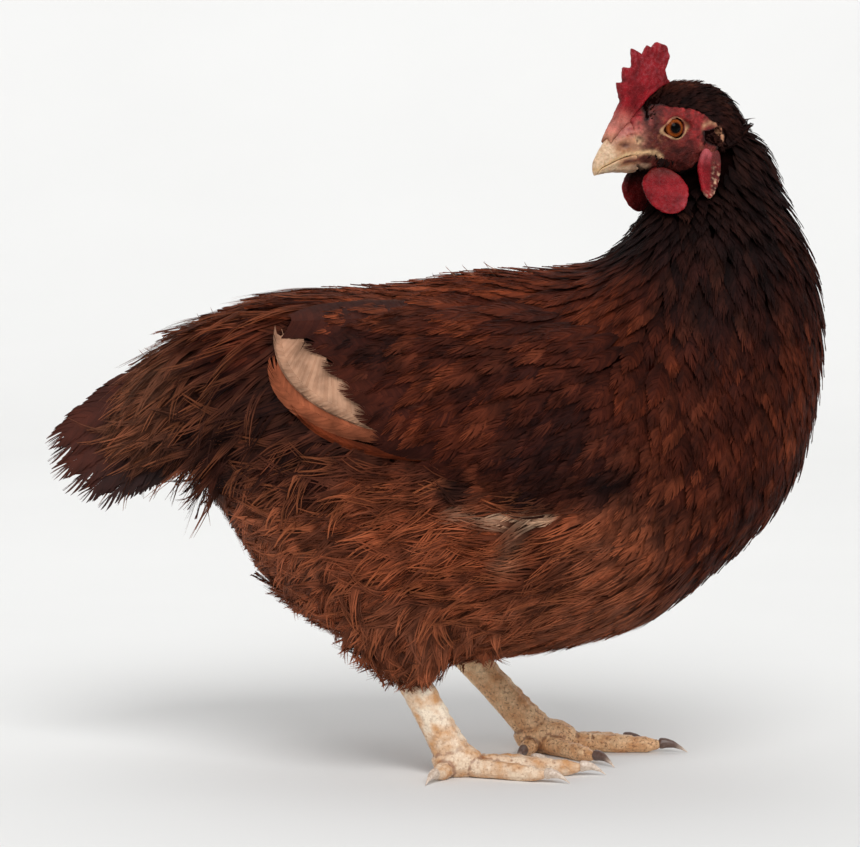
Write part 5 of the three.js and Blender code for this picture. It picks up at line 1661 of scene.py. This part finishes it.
# Head tufts: the smallest feathers, from bristles beside the comb to short soft scales on
# crown, cheek and throat, and the dark tuft that covers the ear.
HEAD_LIE = [
    ("crown", 27, 7, 16, -1.0, 0.1, 0.5, 4.5, 1.6, 1.2, 0.4),
    ("crown", 24, 8, 22, -0.9, 0.1, 0.5, 6.0, 2.0, 1.4, 0.4),
    ("crown", 10, 8, 27, -1.0, 0.1, 0.1, 9.0, 2.8, 1.8, 0.4),
    ("crown", -6, 14, 20, -1.0, 0.05, -0.3, 11.0, 3.2, 2.0, 0.4),
    ("crown", -14, 6, 28, -1.0, 0.0, -0.4, 14.0, 3.6, 2.1, 0.35),
    ("nape", -24, 6, 17, -0.95, 0.05, -0.5, 20.0, 4.4, 2.3, 0.3),
    ("nape", -28, 8, 4, -0.9, 0.05, -0.8, 20.0, 4.8, 2.4, 0.25),
    ("cheek", -1.5, 21, 0, -0.6, 0.1, -0.6, 5.0, 1.8, 1.0, 0.5),
    ("cheek", -14, 20, 8, -0.8, 0.1, -0.6, 14.0, 3.6, 2.0, 0.3),
    ("cheek", -20, 14, -12, -0.6, 0.0, -0.9, 18.0, 4.4, 2.6, 0.3),
    ("cheek", -2, 19, -18, -0.5, 0.0, -0.9, 12.0, 3.2, 1.9, 0.3),
    ("throat", 12, 12, -21, -0.6, 0.0, -0.9, 8.0, 2.6, 1.8, 0.3),
    ("throat", 24, 6, -19, -0.6, 0.0, -0.7, 4.0, 1.6, 1.5, 0.5),
    ("throat", 0, 6, -28, -0.6, 0.0, -0.8, 10.0, 3.2, 2.3, 0.3),
]
EAR_TUFT = (-1.6, -0.4, 4.6)            # forward and up of the head's middle, reach, mm
TUFTS_START = 31                        # how far forward of the head's middle tufts grow, mm
TUFT_SINK = 0.0019                      # of the tufts' roots, m
TUFT_STREAMING = {"nape": 2.0, "crown": 0.9}    # as STREAMING, for the tracts of the head
head_lie = guide(HEAD_LIE, head_local, head_axes, 10)
tuft_plans = [vane_plan(6, 0.2, 51, 0.6), vane_plan(6, 0.5, 52, 0.9)]


def tufts_here(points):
    """Where head tufts grow: off the bare face, behind the beak, and on the ear."""
    local = head_local(points)
    ear = np.hypot(local[:, 0] - EAR_TUFT[0], local[:, 2] - EAR_TUFT[1]) < EAR_TUFT[2]
    feathered = np.maximum(bare_face(local), ear_arc(local)) < 0.45
    return (feathered | ear) & (local[:, 0] < TUFTS_START)


grow(head_form, head_lie, HEAD_LIE, np.random.default_rng(83), tufts_here,
     lambda tract: tuft_plans, coat_finish, slot_of, "_tufts", TUFT_SINK,
     lambda tract: TUFT_STREAMING.get(tract, 0.35), swing=(0.16, 0.3), tries=40000,
     rise=0.0005)


# Studio: a pale sheet that sweeps up into the wall behind, one broad soft lamp above and
# before the bird, two weaker ones and a bright even room.
CAMERA_TURN, CAMERA_RISE, CAMERA_AWAY = math.radians(8), math.radians(5.5), 2.2
CAMERA_AIM = (0, 0, 182.3)              # on the sculptor's axes, mm
PICTURE_WIDTH, PIXEL_AT_BIRD = 860, 0.00053     # pixels, and metres to a pixel
BEND_START, BEND_RADIUS, WALL_TOP = 1.6, 2.0, 7.0
FRONT, HALF_WIDTH = -8.0, 8.0
SENSOR = 36.0                           # mm

turns = np.linspace(0, math.pi / 2, 33)
run = BEND_START + BEND_RADIUS * np.concatenate([np.sin(turns), [1.0]])
run = np.concatenate([[FRONT], run])
rises = np.concatenate([[0.0], BEND_RADIUS * (1 - np.cos(turns)), [WALL_TOP]])
edges = [np.stack([np.full(len(run), x), run, rises], 1) for x in (-HALF_WIDTH, HALF_WIDTH)]
here = np.arange(len(run) - 1)
floor = mesh_piece("floor", np.concatenate(edges), np.stack(
    [here, here + len(run), here + len(run) + 1, here + 1], 1))
floor_finish, tree, shader = finish("pale floor", Roughness=0.85, Specular_IOR_Level=0.1)
tree.links.new(mix(tree, spread(tree, grain(tree, 3.0).outputs["Fac"], 0.3, 0.7),
                   (0.79, 0.79, 0.78, 1), (0.81, 0.81, 0.80, 1)), shader.inputs["Base Color"])
floor.data.materials.append(floor_finish)


def lamp(name, kind, place, size, power):
    """A soft light that shines from a place on the bird."""
    light = bpy.data.lights.new(name, kind)
    light.energy = power
    if kind == "SUN":
        light.angle = size
    else:
        light.size = size
    holder = bpy.data.objects.new(name, light)
    holder.location = place
    way = Vector((0, 0, 0.2)) - Vector(place)
    holder.rotation_euler = way.to_track_quat("-Z", "Y").to_euler()
    bpy.context.scene.collection.objects.link(holder)


lamp("key", "SUN", (0.9, -2.6, 2.8), math.radians(35), 1.9)
lamp("side", "AREA", (-1.6, -1.2, 0.9), 1.2, 4)
lamp("top", "AREA", (-0.2, 0.6, 1.8), 1.4, 5)
bpy.context.scene.view_settings.view_transform = "Standard"
world = bpy.data.worlds.new("room")
bpy.context.scene.world = world
world.use_nodes = True
world.node_tree.nodes["Background"].inputs["Color"].default_value = (0.96, 0.96, 0.97, 1)
world.node_tree.nodes["Background"].inputs["Strength"].default_value = 0.5

back = Vector((math.sin(CAMERA_TURN) * math.cos(CAMERA_RISE),
               -math.cos(CAMERA_TURN) * math.cos(CAMERA_RISE), math.sin(CAMERA_RISE)))
lens = bpy.data.cameras.new("camera")
camera = bpy.data.objects.new("camera", lens)
lens.sensor_width, lens.sensor_fit = SENSOR, "HORIZONTAL"
lens.lens = SENSOR * CAMERA_AWAY / (PIXEL_AT_BIRD * PICTURE_WIDTH)
camera.location = Vector(at(CAMERA_AIM)) + back * CAMERA_AWAY
camera.rotation_euler = (-back).to_track_quat("-Z", "Y").to_euler()
bpy.context.scene.collection.objects.link(camera)
bpy.context.scene.camera = camera
